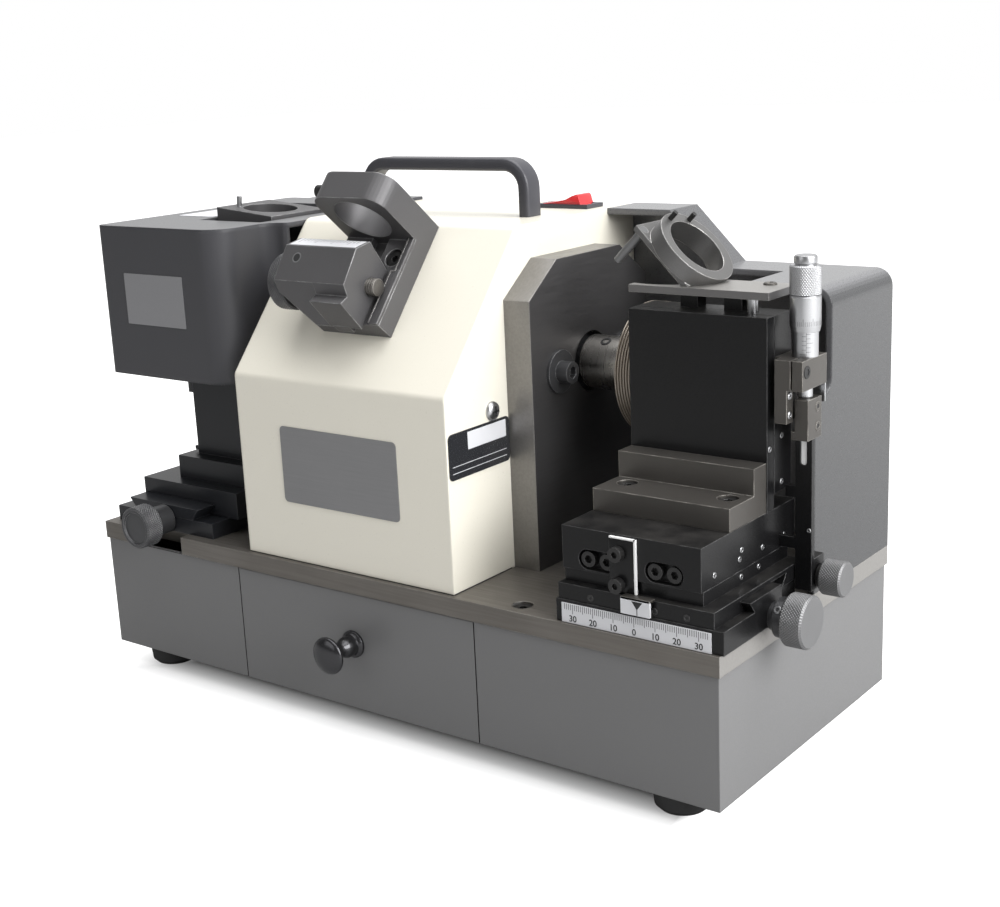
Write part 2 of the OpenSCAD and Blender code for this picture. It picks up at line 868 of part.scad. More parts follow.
module switch_bezel() {
    hole_l = switch_l / 2 - 2 * switch_rim;
    hole_w = switch_w / 2 - 2 * switch_rim;
    body_l = switch_l / 2 - switch_rim - snug_gap;
    body_w = switch_w / 2 - switch_rim - snug_gap;
    color("black") in_frame() translate([switch_x, switch_y, cover_h]) difference() {
        union() {
            block(-switch_l / 2, switch_l / 2, -switch_w / 2, switch_w / 2, 0, switch_lip);
            block(-body_l, body_l, -body_w, body_w, -switch_deep, switch_lip / 2);
        }
        block(-hole_l, hole_l, -hole_w, hole_w, -switch_deep + switch_rim, switch_lip + over);
        rod_y(-body_w - over, body_w + over, 0, -rocker_drop, rocker_pin_r);
    }
}

module switch_rocker() {
    half_l = switch_l / 2 - 2 * switch_rim - rocker_gap;
    half_w = switch_w / 2 - 2 * switch_rim - rub_gap;
    pin_l = switch_w / 2 - switch_rim - 2 * snug_gap;
    color("firebrick") in_frame() translate([switch_x, switch_y, cover_h]) {
        prism_y(-half_w, half_w, [[-half_l + rocker_foot, -rocker_deep], [half_l - rocker_foot, -rocker_deep],
            [half_l, -rocker_drop], [half_l, rocker_low], [half_l - 3 * rocker_gap, rocker_high], [0, rocker_low],
            [-half_l, rocker_low + rub_gap], [-half_l, -rocker_drop]]);
        rod_y(-pin_l, pin_l, 0, -rocker_drop, rocker_pin_r - run_gap);
    }
}

module power_inlet() {
    color("black") in_frame() translate([inlet_x, box_y1, inlet_z]) {
        difference() {
            union() {
                block(-inlet_w / 2, inlet_w / 2, 0, inlet_lip, -inlet_h / 2, inlet_h / 2);
                block(-inlet_body_w / 2, inlet_body_w / 2, -inlet_deep, inlet_lip / 2, -inlet_body_h / 2, inlet_body_h / 2);
            }
            block(-inlet_hole_w / 2, inlet_hole_w / 2, inlet_lip - inlet_hole_deep, inlet_lip + over,
                -inlet_hole_h / 2, inlet_hole_h / 2);
        }
        for (i = [-1, 0, 1])
            block(i * blade_pitch - blade_t / 2, i * blade_pitch + blade_t / 2, inlet_lip - inlet_hole_deep - over,
                inlet_lip - inlet_hole_deep + blade_l, -blade_w / 2, blade_w / 2);
    }
}

// Motor and spindle
module motor_housing() {
    color("dimgray") in_frame() difference() {
        rod_x(cover_x0, cover_x1, spin_y, spin_z, motor_r);
        rod_x(cover_x0 + bell_t, cover_x1 - bell_t, spin_y, spin_z, motor_r - motor_wall);
        rod_x(cover_x0 - over, cover_x1 + over, spin_y, spin_z, shaft_r + over);
        motor_bolt_places() rod_x(-over, bolt_l, 0, 0, bolt_r + snug_gap);
    }
}

module motor_bolt_places() {
    for (side = [-1, 1]) {
        translate([cover_x1 - bolt_l + end_t, spin_y + side * bolt_pitch, spin_z]) children();
        translate([cover_x0 + bolt_l - end_t, spin_y + side * bolt_pitch, spin_z]) mirror([1, 0, 0]) children();
    }
}

module motor_stator() {
    color("orange") in_frame() difference() {
        rod_x(cover_x - stator_l / 2, cover_x + stator_l / 2, spin_y, spin_z, motor_r - motor_wall - rub_gap);
        rod_x(cover_x - stator_l / 2 - over, cover_x + stator_l / 2 + over, spin_y, spin_z, stator_r0);
    }
}

module motor_rotor() {
    color("silver") in_frame() difference() {
        union() {
            rod_x(left_wheel_x0 + over, wheel_x1 - over, spin_y, spin_z, shaft_r);
            rod_x(cover_x - stator_l / 2, cover_x + stator_l / 2, spin_y, spin_z, rotor_r);
        }
        rod_x(wheel_x1 - arbor_l - over, wheel_x1, spin_y, spin_z, arbor_r + snug_gap);
        rod_x(left_wheel_x0, left_wheel_x0 + arbor_l + over, spin_y, spin_z, arbor_r + snug_gap);
    }
}

module bearing(x0) {
    difference() {
        rod_x(x0, x0 + bearing_l, spin_y, spin_z, bearing_r);
        rod_x(x0 - over, x0 + bearing_l + over, spin_y, spin_z, shaft_r + run_gap);
    }
}

module motor_bearings() {
    color("silver") in_frame() {
        bearing(cover_x1);
        bearing(cover_x0 - bearing_l);
    }
}

module end_plate(x0, bearing_x0) {
    top_y0 = end_y0 + end_cut_y;
    top_y1 = end_y1 - end_cut_y;
    difference() {
        prism_x(x0, x0 + end_t, [[end_y0, 0], [end_y1, 0], [end_y1, end_h - end_cut_z], [top_y1, end_h],
            [top_y0, end_h], [end_y0, end_h - end_cut_z]]);
        rod_x(bearing_x0, bearing_x0 + bearing_l, spin_y, spin_z, bearing_r + snug_gap);
        rod_x(x0 - over, x0 + end_t + over, spin_y, spin_z, throat_r);
        for (side = [-1, 1])
            rod_x(x0 - over, x0 + end_t + over, spin_y + side * bolt_pitch, spin_z, bolt_r + rub_gap);
    }
}

module right_end_plate() {
    color("slategray") in_frame() end_plate(cover_x1, cover_x1);
}

module left_end_plate() {
    color("slategray") in_frame() end_plate(end_x0, cover_x0 - bearing_l);
}

module motor_bolts() {
    color("silver") in_frame() motor_bolt_places() {
        difference() {
            union() {
                rod_x(0, bolt_l + washer_t + over, 0, 0, bolt_r);
                rod_x(bolt_l + washer_t, bolt_l + washer_t + bolt_head_h, 0, 0, bolt_head_r);
            }
            translate([bolt_l + washer_t + bolt_head_h / 2, 0, 0]) rotate([0, 90, 0])
                cylinder(h = bolt_head_h, r = bolt_r, $fn = 6);
        }
        difference() {
            rod_x(bolt_l, bolt_l + washer_t, 0, 0, washer_r);
            rod_x(bolt_l - over, bolt_l + washer_t + over, 0, 0, bolt_r + rub_gap);
        }
    }
}

module tube_x(x0, x1, r, bore) {
    difference() {
        rod_x(x0, x1, spin_y, spin_z, r);
        rod_x(x0 - over, x1 + over, spin_y, spin_z, bore);
    }
}

module wheel_collars() {
    color("gray") in_frame() {
        tube_x(end_x1 + collar_gap, wheel_x0, collar_r, shaft_r + snug_gap);
        tube_x(left_wheel_x1, end_x0 - collar_gap, left_collar_r, shaft_r + snug_gap);
    }
}

module wheel(x0) {
    bore = shaft_r + snug_gap;
    turned_x(x0, spin_y, spin_z, [[bore, 0], [wheel_r - wheel_edge, 0], [wheel_r, wheel_edge],
        [wheel_r, wheel_t - wheel_edge], [wheel_r - wheel_edge, wheel_t], [bore, wheel_t]]);
}

module right_wheel() {
    color("darkgray") in_frame() wheel(wheel_x0);
}

module left_wheel() {
    color("darkgray") in_frame() wheel(left_wheel_x0);
}

module wheel_screw() {
    rotate([0, 90, 0]) difference() {
        union() {
            cylinder(h = flange_t, r = flange_r, $fn = round_fn);
            cylinder(h = flange_t + arbor_head_h, r = arbor_head_r, $fn = small_fn);
            translate([0, 0, -arbor_l]) cylinder(h = arbor_l + flange_t / 2, r = arbor_r, $fn = small_fn);
        }
        translate([0, 0, flange_t / 2]) cylinder(h = flange_t + arbor_head_h, r = socket_r, $fn = 6);
    }
}

module wheel_screws() {
    color("dimgray") in_frame() {
        translate([wheel_x1, spin_y, spin_z]) wheel_screw();
        translate([left_wheel_x0, spin_y, spin_z]) mirror([1, 0, 0]) wheel_screw();
    }
}

// Hoods
module right_hood() {
    outer = [[hood_x0, 0], [hood_x3, 0], [hood_x3, hood_low], [hood_x2, hood_low], [hood_x1, hood_high],
        [hood_x0, hood_high]];
    inner = [[hood_x0 - over, -over], [hood_x3 - hood_t, -over], [hood_x3 - hood_t, hood_low - hood_t],
        [hood_x2 - hood_shift, hood_low - hood_t], [hood_x1 - hood_shift, hood_high - hood_t],
        [hood_x0 - over, hood_high - hood_t]];
    wall = [[hood_foot_y, 0], [hood_front_y + hood_r, 0], [hood_front_y + hood_r, hood_step_z + 2 * hood_step_r],
        [hood_front_y, hood_step_z + 2 * hood_step_r], [hood_front_y, hood_step_z], [hood_foot_y, hood_step_z]];
    wall_r = min(hood_step_r, (hood_front_y - hood_foot_y) / 2 - hood_t / 2);
    color("gray") in_frame() {
        difference() {
            prism_y(hood_front_y, hood_y1, rounded(outer, [0, 0, hood_r, 0, 0, 0]));
            prism_y(hood_front_y - over, hood_y1 - hood_t, rounded(inner, [0, 0, hood_r - hood_t, 0, 0, 0]));
            block(hood_x0 - over, hood_notch_x, hood_front_y - over, hood_mid_y, -over, hood_high + over);
        }
        prism_x(hood_x3 - hood_t, hood_x3, rounded(wall, [0, 0, 0, 0, wall_r, wall_r]));
    }
}

module left_hood() {
    outer = [[cowl_x0, cowl_y], [cowl_x1, cowl_y], [cowl_x1, cowl_step_y], [cowl_x2, cowl_step_y],
        [cowl_x2, cowl_y1], [cowl_x0, cowl_y1]];
    inner = [[cowl_x0 + cowl_t, cowl_y + cowl_t], [cowl_x1 - cowl_t, cowl_y + cowl_t],
        [cowl_x1 - cowl_t, end_y0], [cowl_x2 + over, end_y0], [cowl_x2 + over, cowl_y1 - cowl_t],
        [cowl_x0 + cowl_t, cowl_y1 - cowl_t]];
    color("gainsboro") in_frame() {
        difference() {
            prism_z(cowl_z, cowl_top, rounded(outer, [cowl_edge_r, cowl_front_r, cowl_step_r, cowl_lobe_r, 0,
                cowl_edge_r]));
            prism_z(cowl_z - over, cowl_top - cowl_t, rounded(inner, [cowl_edge_r - cowl_t, cowl_front_r - cowl_t,
                cowl_step_r + cowl_t, 0, 0, cowl_edge_r - cowl_t]));
            block(end_x0, cowl_x2 + over, end_y0, cowl_y1 + over, cowl_z - over, cowl_top - cowl_t);
            block(cowl_open_x0, cowl_open_x1, cowl_open_y0, cowl_open_y1, cowl_top - cowl_t - over, cowl_top + over);
        }
        block(cowl_pad_x0, cowl_x2, cowl_pad_y0, cowl_y1, cowl_top, cowl_top + cowl_pad_h);
    }
}

// Setting gauge
module gauge_screw_places() {
    for (side = [-1, 1])
        translate([gauge_xm + side * (gauge_w / 2 - gauge_screw_in), gauge_screw_u, 0]) children();
}

module gauge_bracket() {
    color("dimgray") in_frame() on_slope() difference() {
        union() {
            block(gauge_x0, gauge_x1, gauge_u0, gauge_u1, 0, gauge_t);
            prism_y(lug_u0, gauge_u1, rounded([[gauge_x0, 0], [gauge_x1, 0], [gauge_x1, lug_h], [gauge_x0, lug_h]],
                [0, 0, lug_r, lug_r]));
        }
        rod_y(lug_u0 - over, gauge_u1 + over, gauge_xm, lug_bore_d, bore_r);
        block(gauge_xm - key_half, gauge_xm + key_half, gauge_u0 - over, lug_u0, gauge_t - key_deep, gauge_t + over);
        gauge_screw_places() {
            translate([0, 0, gauge_t - cap_sink]) cylinder(h = cap_sink + over, r = cap_hole_r, $fn = small_fn);
            translate([0, 0, -over]) cylinder(h = gauge_t, r = screw_r + snug_gap, $fn = small_fn);
        }
    }
}

module gauge_carriage() {
    top = [[car_u1, gauge_t], [car_crest_u, car_crest_d], [car_face_u, car_face_d], [car_lip_u, car_lip_d]];
    foot = [[car_step_u, car_step_d], [car_low_u, car_low_d], [car_u0, gauge_t]];
    key_z = gauge_t - key_deep + slide_gap;
    wedge = [[car_x0 - over, gauge_t - over], [car_x0 + car_cut_x, gauge_t - over], [car_x0 - over, car_step_d]];
    color("gray") in_frame() on_slope() difference() {
        union() {
            prism_x(car_x0, car_notch_x + over, concat(top, [[car_u0, gauge_t]]));
            prism_x(car_notch_x, car_x1, concat(top, foot));
            block(gauge_xm - key_half + slide_gap, gauge_xm + key_half - slide_gap, car_u0, car_u1, key_z, gauge_t + over);
        }
        rod_x(car_x0 - over, car_x1 + over, car_screw_u, car_screw_d, car_screw_r + run_gap);
        prism_y(car_u0 - over, car_crest_u, wedge);
    }
}

module gauge_knob() {
    knob_x1 = car_x0 - rub_gap;
    knob_x0 = knob_x1 - gauge_knob_l;
    edge = gauge_knob_edge;
    color("silver") in_frame() on_slope() {
        turned_x(knob_x0, car_screw_u, car_screw_d, [[0, 0], [gauge_knob_r - edge, 0], [gauge_knob_r, edge],
            [gauge_knob_r, gauge_knob_l - edge], [gauge_knob_r - edge, gauge_knob_l], [0, gauge_knob_l]]);
        rod_x(knob_x0 + over, car_x1 + car_screw_out, car_screw_u, car_screw_d, car_screw_r);
    }
}

// Left stage
module dove_x(y, z, neck, wide, h, gap) {
    polygon([[y - neck - gap, z - gap], [y + neck + gap, z - gap], [y + wide + gap, z + h + gap],
        [y - wide - gap, z + h + gap]]);
}

module left_base() {
    color("black") in_frame() difference() {
        union() {
            block(lbase_x0, lbase_x0 + lbase_w, lbase_y0, lbase_y1, 0, lbase_h);
            translate([0, lbase_y1, 0]) rotate([90, 0, 0]) linear_extrude(height = lbase_y1 - ldove_y0)
                dove_x(lstage_xm, lbase_h, ldove_neck, ldove_wide, ldove_h, 0);
        }
        rod_y(ldove_y0 - over, lbase_y1 - over, lknob_x, lknob_z, lscrew_r + run_gap);
        block(lknob_x - lslot_half, lknob_x + lslot_half, lslot_y0, lslot_y1, lslot_z, lbase_h + ldove_h + over);
    }
}

module left_slide() {
    color("black") in_frame() difference() {
        union() {
            difference() {
                block(lslide_x0, lslide_x0 + lslide_w, lslide_y0, lslide_y1, lslide_z0, lslide_z1);
                translate([0, lslide_y1 + over, 0]) rotate([90, 0, 0])
                    linear_extrude(height = lslide_y1 - lslide_y0 + 2 * over)
                    dove_x(lstage_xm, lbase_h, ldove_neck, ldove_wide, ldove_h, slide_gap);
            }
            block(lknob_x - lnut_half, lknob_x + lnut_half, lnut_y0, lnut_y0 + lnut_l, lnut_z0, lslide_z1);
        }
        rod_y(lnut_y0 - over, lnut_y0 + lnut_l + over, lknob_x, lknob_z, lscrew_r + run_gap);
    }
}

module left_column() {
    riser_z1 = lslide_z1 + riser_block_h;
    color("black") in_frame() difference() {
        union() {
            block(riser_block_x0, riser_block_x1, riser_block_y0, riser_block_y1, lslide_z1, riser_z1);
            block(col_x0, riser_block_x1, col_y0, col_y1, lslide_z1, port_z0);
            block(col_x0, port_x1, col_y0, port_y1, port_z0 - shelf_t, port_z0);
        }
        rod_z(port_z0 - shelf_t - over, port_z0 + over, port_xm, port_ym, port_relief_r);
    }
}

module port_tilt() {
    translate([port_xm, port_ym, port_z0 + port_mid_h]) rotate([0, port_deg, 0]) children();
}

module port_plate() {
    color("dimgray") in_frame() difference() {
        prism_y(port_y0, port_y1, [[port_x0, port_z0], [port_x1, port_z0], [port_x1, port_z0 + port_right_h],
            [port_x0, port_z0 + port_left_h]]);
        port_tilt() translate([0, 0, -port_left_h - port_right_h])
            cylinder(h = 2 * (port_left_h + port_right_h), r = bore_r, $fn = round_fn);
        stop_pin_rod(pin_r + snug_gap, over);
    }
}

module stop_pin_rod(r, extra) {
    port_tilt() translate([port_x0 + pin_in_x - port_xm, port_y0 + pin_in_y - port_ym, -pin_in])
        cylinder(h = pin_in + pin_out + extra, r = r, $fn = small_fn);
}

module stop_pin() {
    color("silver") in_frame() stop_pin_rod(pin_r, 0);
}

module left_knob() {
    edge = lknob_edge;
    color("silver") in_frame() translate([lknob_x, lknob_y0, lknob_z]) rotate([-90, 0, 0]) {
        rotate_extrude($fn = round_fn) polygon([[0, 0], [lknob_r - edge, 0], [lknob_r, edge],
            [lknob_r, lknob_l - edge], [lknob_r - edge, lknob_l], [lhub_r, lknob_l],
            [lhub_r, ldove_y0 - rub_gap - lknob_y0], [0, ldove_y0 - rub_gap - lknob_y0]]);
        cylinder(h = lscrew_l - lknob_y0, r = lscrew_r, $fn = small_fn);
    }
}

// Right stage, lower slide
module x_base() {
    color("dimgray") in_frame() difference() {
        union() {
            block(sx, xbase_x1, xbase_y0, xbase_y1, 0, xbase_h);
            translate([sx, 0, 0]) rotate([90, 0, 90]) linear_extrude(height = xbase_l)
                dove_x(xdove_y, xbase_h, dove_neck, dove_wide, dove_h, 0);
        }
        block(sx + xchan_end, xbase_x1 - xchan_end, xdove_y - xchan_half, xdove_y + xchan_half, xchan_z,
            xbase_h + dove_h + over);
        rod_x(sx + xchan_end, xbase_x1 + over, feed_y, feed_z, feed_screw_r + run_gap);
        block(xbase_x1 - xbase_end_l, xbase_x1 + over, xbase_end_y, xbase_y1 + over, -over, xbase_h + dove_h + over);
    }
}

module scale_strip() {
    color("white") in_frame() block(strip_x0, strip_x0 + strip_l, xbase_y0 - strip_t, xbase_y0, strip_z0,
        strip_z0 + strip_h);
}

module x_bearing() {
    color("gray") in_frame() difference() {
        rod_x(xbase_x1, xbase_x1 + feed_hub_l, feed_y, feed_z, feed_hub_r);
        rod_x(xbase_x1 - over, xbase_x1 + feed_hub_l + over, feed_y, feed_z, feed_screw_r + run_gap);
    }
}

module x_knob() {
    edge = feed_edge;
    color("silver") in_frame() {
        turned_x(feed_x0, feed_y, feed_z, [[0, 0], [feed_r - edge, 0], [feed_r, edge], [feed_r, feed_l - edge],
            [feed_r - edge, feed_l], [0, feed_l]]);
        rod_x(sx + feed_screw_in, feed_x0 + over, feed_y, feed_z, feed_screw_r);
    }
}

module x_saddle() {
    color("dimgray") in_frame() difference() {
        union() {
            difference() {
                block(saddle_x0, saddle_x1, saddle_y0, saddle_y1, xbase_h, saddle_z1);
                translate([saddle_x0 - over, 0, 0]) rotate([90, 0, 90]) linear_extrude(height = saddle_l + 2 * over)
                    dove_x(xdove_y, xbase_h, dove_neck, dove_wide, dove_h, slide_gap);
            }
            block(nut_x0, nut_x0 + nut_l, feed_y - nut_half, feed_y + nut_half, nut_z0, saddle_z1);
        }
        rod_x(nut_x0 - over, nut_x0 + nut_l + over, feed_y, feed_z, feed_screw_r + run_gap);
    }
}

// Right stage, cross slide
module y_guide() {
    color("black") in_frame() {
        block(block_x0, block_x1, guide_y0, guide_y1, saddle_z1, block_z0);
        translate([0, guide_y1, 0]) rotate([90, 0, 0]) linear_extrude(height = guide_y1 - ydove_y0)
            dove_x(block_xm, block_z0, ydove_neck, ydove_wide, dove_h, 0);
    }
}

module gib_places() {
    for (side = [-1, 1]) for (step = [-1, 1])
        translate([block_xm + side * slot_from_mid + step * slot_pitch / 2, block_y0 + slot_deep, block_z0 + slot_up])
            rotate([90, 0, 0]) children();
}

module y_block() {
    color("black") in_frame() difference() {
        block(block_x0, block_x1, block_y0, block_y1, block_z0, block_z1);
        translate([0, block_y1 + over, 0]) rotate([90, 0, 0])
            linear_extrude(height = block_y1 + over - ydove_y0 + rub_gap)
            dove_x(block_xm, block_z0, ydove_neck, ydove_wide, dove_h, slide_gap);
        for (side = [-1, 1]) translate([block_xm + side * slot_from_mid, 0, block_z0 + slot_up]) {
            rod_y(block_y0 - over, block_y0 + slot_deep, -slot_pitch / 2, 0, slot_r);
            rod_y(block_y0 - over, block_y0 + slot_deep, slot_pitch / 2, 0, slot_r);
            block(-slot_pitch / 2, slot_pitch / 2, block_y0 - over, block_y0 + slot_deep, -slot_r, slot_r);
        }
        gib_places() translate([0, 0, -gib_l]) cylinder(h = gib_l, r = gib_shank_r + snug_gap, $fn = small_fn);
        rod_y(block_y0 - over, block_y0 + pointer_shank_l, pointer_screw_x, block_z0 + pointer_screw_up,
            pointer_shank_r + snug_gap);
        angle_hole_places() translate([0, 0, -screw_l]) cylinder(h = screw_l + over, r = screw_r + snug_gap, $fn = small_fn);
    }
}

module pointer_screw_places() {
    translate([pointer_screw_x, block_y0 - pointer_t, block_z0 + pointer_screw_up]) rotate([90, 0, 0]) children();
}

module angle_hole_places() {
    for (x = [upright_x0 + angle_hole_in, upright_x1 - angle_hole_in])
        translate([x, angle_hole_y, block_z1 + angle_t - cap_sink]) children();
}

module stage_screws() {
    low_z = pointer_z0 + pointer_screw_low;
    color("dimgray") in_frame() {
        gib_places() cap_screw(gib_r, gib_head, gib_shank_r, gib_l - over, socket_r, socket_deep);
        pointer_screw_places()
            cap_screw(pointer_cap_r, pointer_cap_h, pointer_shank_r, pointer_shank_l, pointer_shank_r, pointer_cap_h / 2);
        translate([pointer_screw_x, block_y0 - pointer_t, low_z]) rotate([90, 0, 0])
            cap_screw(pointer_cap_r, pointer_cap_h, pointer_shank_r, pointer_t, pointer_shank_r, pointer_cap_h / 2);
        angle_hole_places() cap_screw(cap_r, cap_h, screw_r, screw_l - over, socket_r, socket_deep);
    }
}

module pointer_bracket() {
    x1 = pointer_x0 + pointer_w;
    y0 = block_y0 - pointer_t;
    low_z = pointer_z0 + pointer_screw_low;
    color("silver") in_frame() difference() {
        union() {
            block(pointer_x0, x1, y0, block_y0, pointer_z0, pointer_z1);
            block(tab_x0, x1, tab_y0, block_y0, pointer_z0, pointer_z0 + pointer_hang);
            block(tab_x0, tab_x1, tab_y0, tab_y0 + tab_t, tab_z0, pointer_z0 + pointer_hang);
        }
        pointer_screw_places() translate([0, 0, -pointer_t - over])
            cylinder(h = pointer_t + 2 * over, r = pointer_shank_r + snug_gap, $fn = small_fn);
        rod_y(y0 - over, block_y0 + over, pointer_screw_x, low_z, pointer_shank_r + snug_gap);
    }
}

// Right stage, rising slide
module angle_bracket() {
    color("silver") in_frame() difference() {
        union() {
            block(upright_x0, block_x1, angle_y0, upright_y0, block_z1, block_z1 + angle_t);
            block(upright_x0, block_x1, angle_leg_y, upright_y0, block_z1, block_z1 + angle_leg_h);
        }
        angle_hole_places() {
            cylinder(h = cap_sink + over, r = cap_hole_r, $fn = small_fn);
            translate([0, 0, -angle_t]) cylinder(h = angle_t + over, r = screw_r + snug_gap, $fn = small_fn);
        }
    }
}

module upright_plate() {
    color("black") in_frame() {
        block(upright_x0, upright_x1, upright_y0, upright_y1, block_z1, upright_z1);
        prism_z(zdove_z0, upright_z1, [[upright_xm - zdove_neck, upright_y1], [upright_xm + zdove_neck, upright_y1],
            [upright_xm + zdove_wide, upright_y1 + dove_h], [upright_xm - zdove_wide, upright_y1 + dove_h]]);
    }
}

module lift_carriage() {
    neck = zdove_neck + slide_gap;
    wide = zdove_wide + slide_gap;
    slope = (zdove_wide - zdove_neck) / dove_h;
    color("black") in_frame() difference() {
        block(upright_x0, upright_x1, lift_y0, lift_y1, lift_z0, upright_z1);
        prism_z(lift_z0 - over, upright_z1 + over, [[upright_xm - neck, upright_y1], [upright_xm + neck, upright_y1],
            [upright_xm + wide + slope * slide_gap, upright_y1 + dove_h + slide_gap],
            [upright_xm - wide - slope * slide_gap, upright_y1 + dove_h + slide_gap]]);
    }
}

module plate_risers() {
    color("black") in_frame() {
        for (x = [riser_x0, riser_x1])
            block(x, x + riser_w, riser_y0, riser_y0 + riser_d, upright_z1, top_z0);
        rod_z(upright_z1, top_z0, standoff_x, riser_y0 + standoff_r, standoff_r);
    }
}

module top_plate() {
    color("silver") in_frame() difference() {
        block(top_x0, upright_x1, top_y0, top_y1, top_z0, top_z1);
        on_ring() translate([0, 0, -3 * ring_r]) cylinder(h = 3 * ring_r, r = bore_r + top_relief, $fn = round_fn);
    }
}

module index_places() {
    for (turn = [half_turn + index_low_deg, half_turn - index_high_deg])
        rotate([0, 0, turn]) translate([index_at, 0, -index_deep]) children();
}

module ring_holder() {
    reach = 3 * ring_r;
    color("gray") in_frame() difference() {
        on_ring() difference() {
            union() {
                translate([0, 0, -ring_t]) cylinder(h = ring_t, r = ring_r, $fn = round_fn);
                block(-flange_up, flange_up, flange_y0, flange_y1, -ring_t - flange_back, -ring_t);
            }
            translate([0, 0, -ring_t - flange_back - over])
                cylinder(h = ring_t + flange_back + 2 * over, r = bore_r, $fn = round_fn);
            index_places() cylinder(h = index_deep + over, r = index_r + snug_gap, $fn = small_fn);
            translate([ring_pin_x, ring_pin_y, -ring_t - flange_back - over])
                cylinder(h = ring_t + flange_back, r = ring_pin_r + snug_gap, $fn = small_fn);
        }
        block(ring_x - reach, ring_x + reach, ring_y - reach, ring_y + reach, top_z1 - reach, top_z1);
    }
}

module ring_screws() {
    color("black") in_frame() on_ring() index_places()
        cylinder(h = index_deep + index_out, r = index_r, $fn = small_fn);
}

module ring_pin() {
    color("silver") in_frame() on_ring() translate([ring_pin_x, ring_pin_y, -ring_t - flange_back - ring_pin_l])
        cylinder(h = ring_pin_l + flange_back, r = ring_pin_r, $fn = small_fn);
}

// Micrometer and its stop
module mic_holder() {
    plate_x1 = upright_x1 + mic_plate_t;
    front_x1 = upright_x1 + mic_front_t;
    color("black") in_frame() difference() {
        union() {
            block(upright_x1, plate_x1, mic_plate_y0, mic_plate_y1, mic_plate_z0, mic_block_z1);
            block(mic_front_x0, front_x1, mic_front_y0, mic_plate_y0, mic_plate_z0, mic_block_z1);
            block(mic_front_x0, plate_x1, mic_front_y0, mic_plate_y0 + over, mic_plate_z0, mic_block_z1);
            block(upright_x1, mic_block_x1, mic_plate_y0, mic_block_y1, mic_block_z0, mic_block_z1);
            block(mic_front_x0, mic_block_x1, mic_front_y0, mic_plate_y0 + over, mic_block_z0, mic_block_z1);
        }
        rod_z(mic_block_z0 - over, mic_block_z1 + over, mic_x, mic_y, shank_r + snug_gap);
        block(mic_x - mic_slit / 2, mic_x + mic_slit / 2, mic_front_y0 - over, mic_y, mic_block_z0 - over,
            mic_block_z1 + over);
    }
}

module mic_sleeve() {
    color("silver") in_frame() difference() {
        union() {
            rod_z(mic_block_z1, sleeve_z1, mic_x, mic_y, sleeve_r);
            rod_z(mic_block_z0, mic_block_z1 + over, mic_x, mic_y, shank_r);
        }
        rod_z(mic_block_z0 - over, sleeve_z1 + over, mic_x, mic_y, needle_r + run_gap);
    }
}

module mic_thimble() {
    color("silver") in_frame() {
        difference() {
            rod_z(thimble_z0, thimble_z1, mic_x, mic_y, thimble_r);
            rod_z(thimble_z0 - over, thimble_z1 - thimble_wall_top, mic_x, mic_y, thimble_in_r);
        }
        rod_z(thimble_z1, thimble_z1 + thimble_cap_h, mic_x, mic_y, thimble_cap_r);
        rod_z(anvil_z1, thimble_z1, mic_x, mic_y, needle_r);
    }
}

module anvil_block() {
    color("gray") in_frame() {
        block(anvil_x0, bar_x1, anvil_y0, anvil_y1, anvil_z0, anvil_z1);
        block(bar_x0, anvil_x0 + over, anvil_y0, anvil_y1, anvil_z0, anvil_z0 + anvil_foot_h);
    }
}

module stop_bar() {
    slot_z = anvil_z0 - bar_slot_l;
    color("black") in_frame() difference() {
        union() {
            block(bar_x0, bar_x1, bar_y0, bar_y1, bar_z0, anvil_z0);
            block(bar_x0, bar_x1, bar_y0, bar_foot_y1, bar_z0, bar_foot_z1);
            block(block_x1, bar_x0 + over, bar_y0, bar_y1, block_z0 + bar_spacer_low, block_z0 + bar_spacer_high);
            block(mic_front_x0, bar_x0 + over, bar_y0, bar_y1, bar_arm_z0, bar_arm_z0 + bar_arm_h);
        }
        rod_x(bar_x0 - over, bar_x1 + over, lock_y, lock_z, lock_stud_r + run_gap);
        rod_y(bar_y0 - over, bar_y1 + over, bar_xm, slot_z, bar_slot_half);
        block(bar_xm - bar_slot_half, bar_xm + bar_slot_half, bar_y0 - over, bar_y1 + over, slot_z, anvil_z0 + over);
    }
}

module lock_knob() {
    x0 = bar_x1 + rub_gap;
    knob_x0 = x0 + lock_neck_l;
    edge = feed_edge;
    color("silver") in_frame() {
        turned_x(knob_x0, lock_y, lock_z, [[0, 0], [lock_r - edge, 0], [lock_r, edge], [lock_r, lock_l - edge],
            [lock_r - edge, lock_l], [0, lock_l]]);
        rod_x(x0, knob_x0 + over, lock_y, lock_z, lock_neck_r);
        rod_x(bar_x0, x0 + over, lock_y, lock_z, lock_stud_r);
    }
}

base_box();
base_plate();
base_screws();
rubber_feet();
drawer_runners();
drawer_tray();
drawer_knob();
motor_cover();
cover_screws();
carry_handle();
switch_bezel();
switch_rocker();
power_inlet();
motor_housing();
motor_stator();
motor_rotor();
motor_bearings();
right_end_plate();
left_end_plate();
motor_bolts();
wheel_collars();
right_wheel();
left_wheel();
wheel_screws();
right_hood();
left_hood();
gauge_bracket();
gauge_carriage();
gauge_knob();
left_base();
left_slide();
left_column();
port_plate();
stop_pin();
left_knob();
x_base();
scale_strip();
x_bearing();
x_knob();
x_saddle();
y_guide();
y_block();
stage_screws();
pointer_bracket();
angle_bracket();
upright_plate();
lift_carriage();
plate_risers();
top_plate();
ring_holder();
ring_screws();
ring_pin();
mic_holder();
mic_sleeve();
mic_thimble();
anvil_block();
stop_bar();
lock_knob();
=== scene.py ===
"""Looks of the tool and cutter grinder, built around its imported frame.

Lengths in this script are millimetres in the plate frame: x = 0 at the middle of the base plate, y = 0 at its
front edge, z = 0 on its top face. place() turns them into metres of the row frame.
"""

from __future__ import annotations

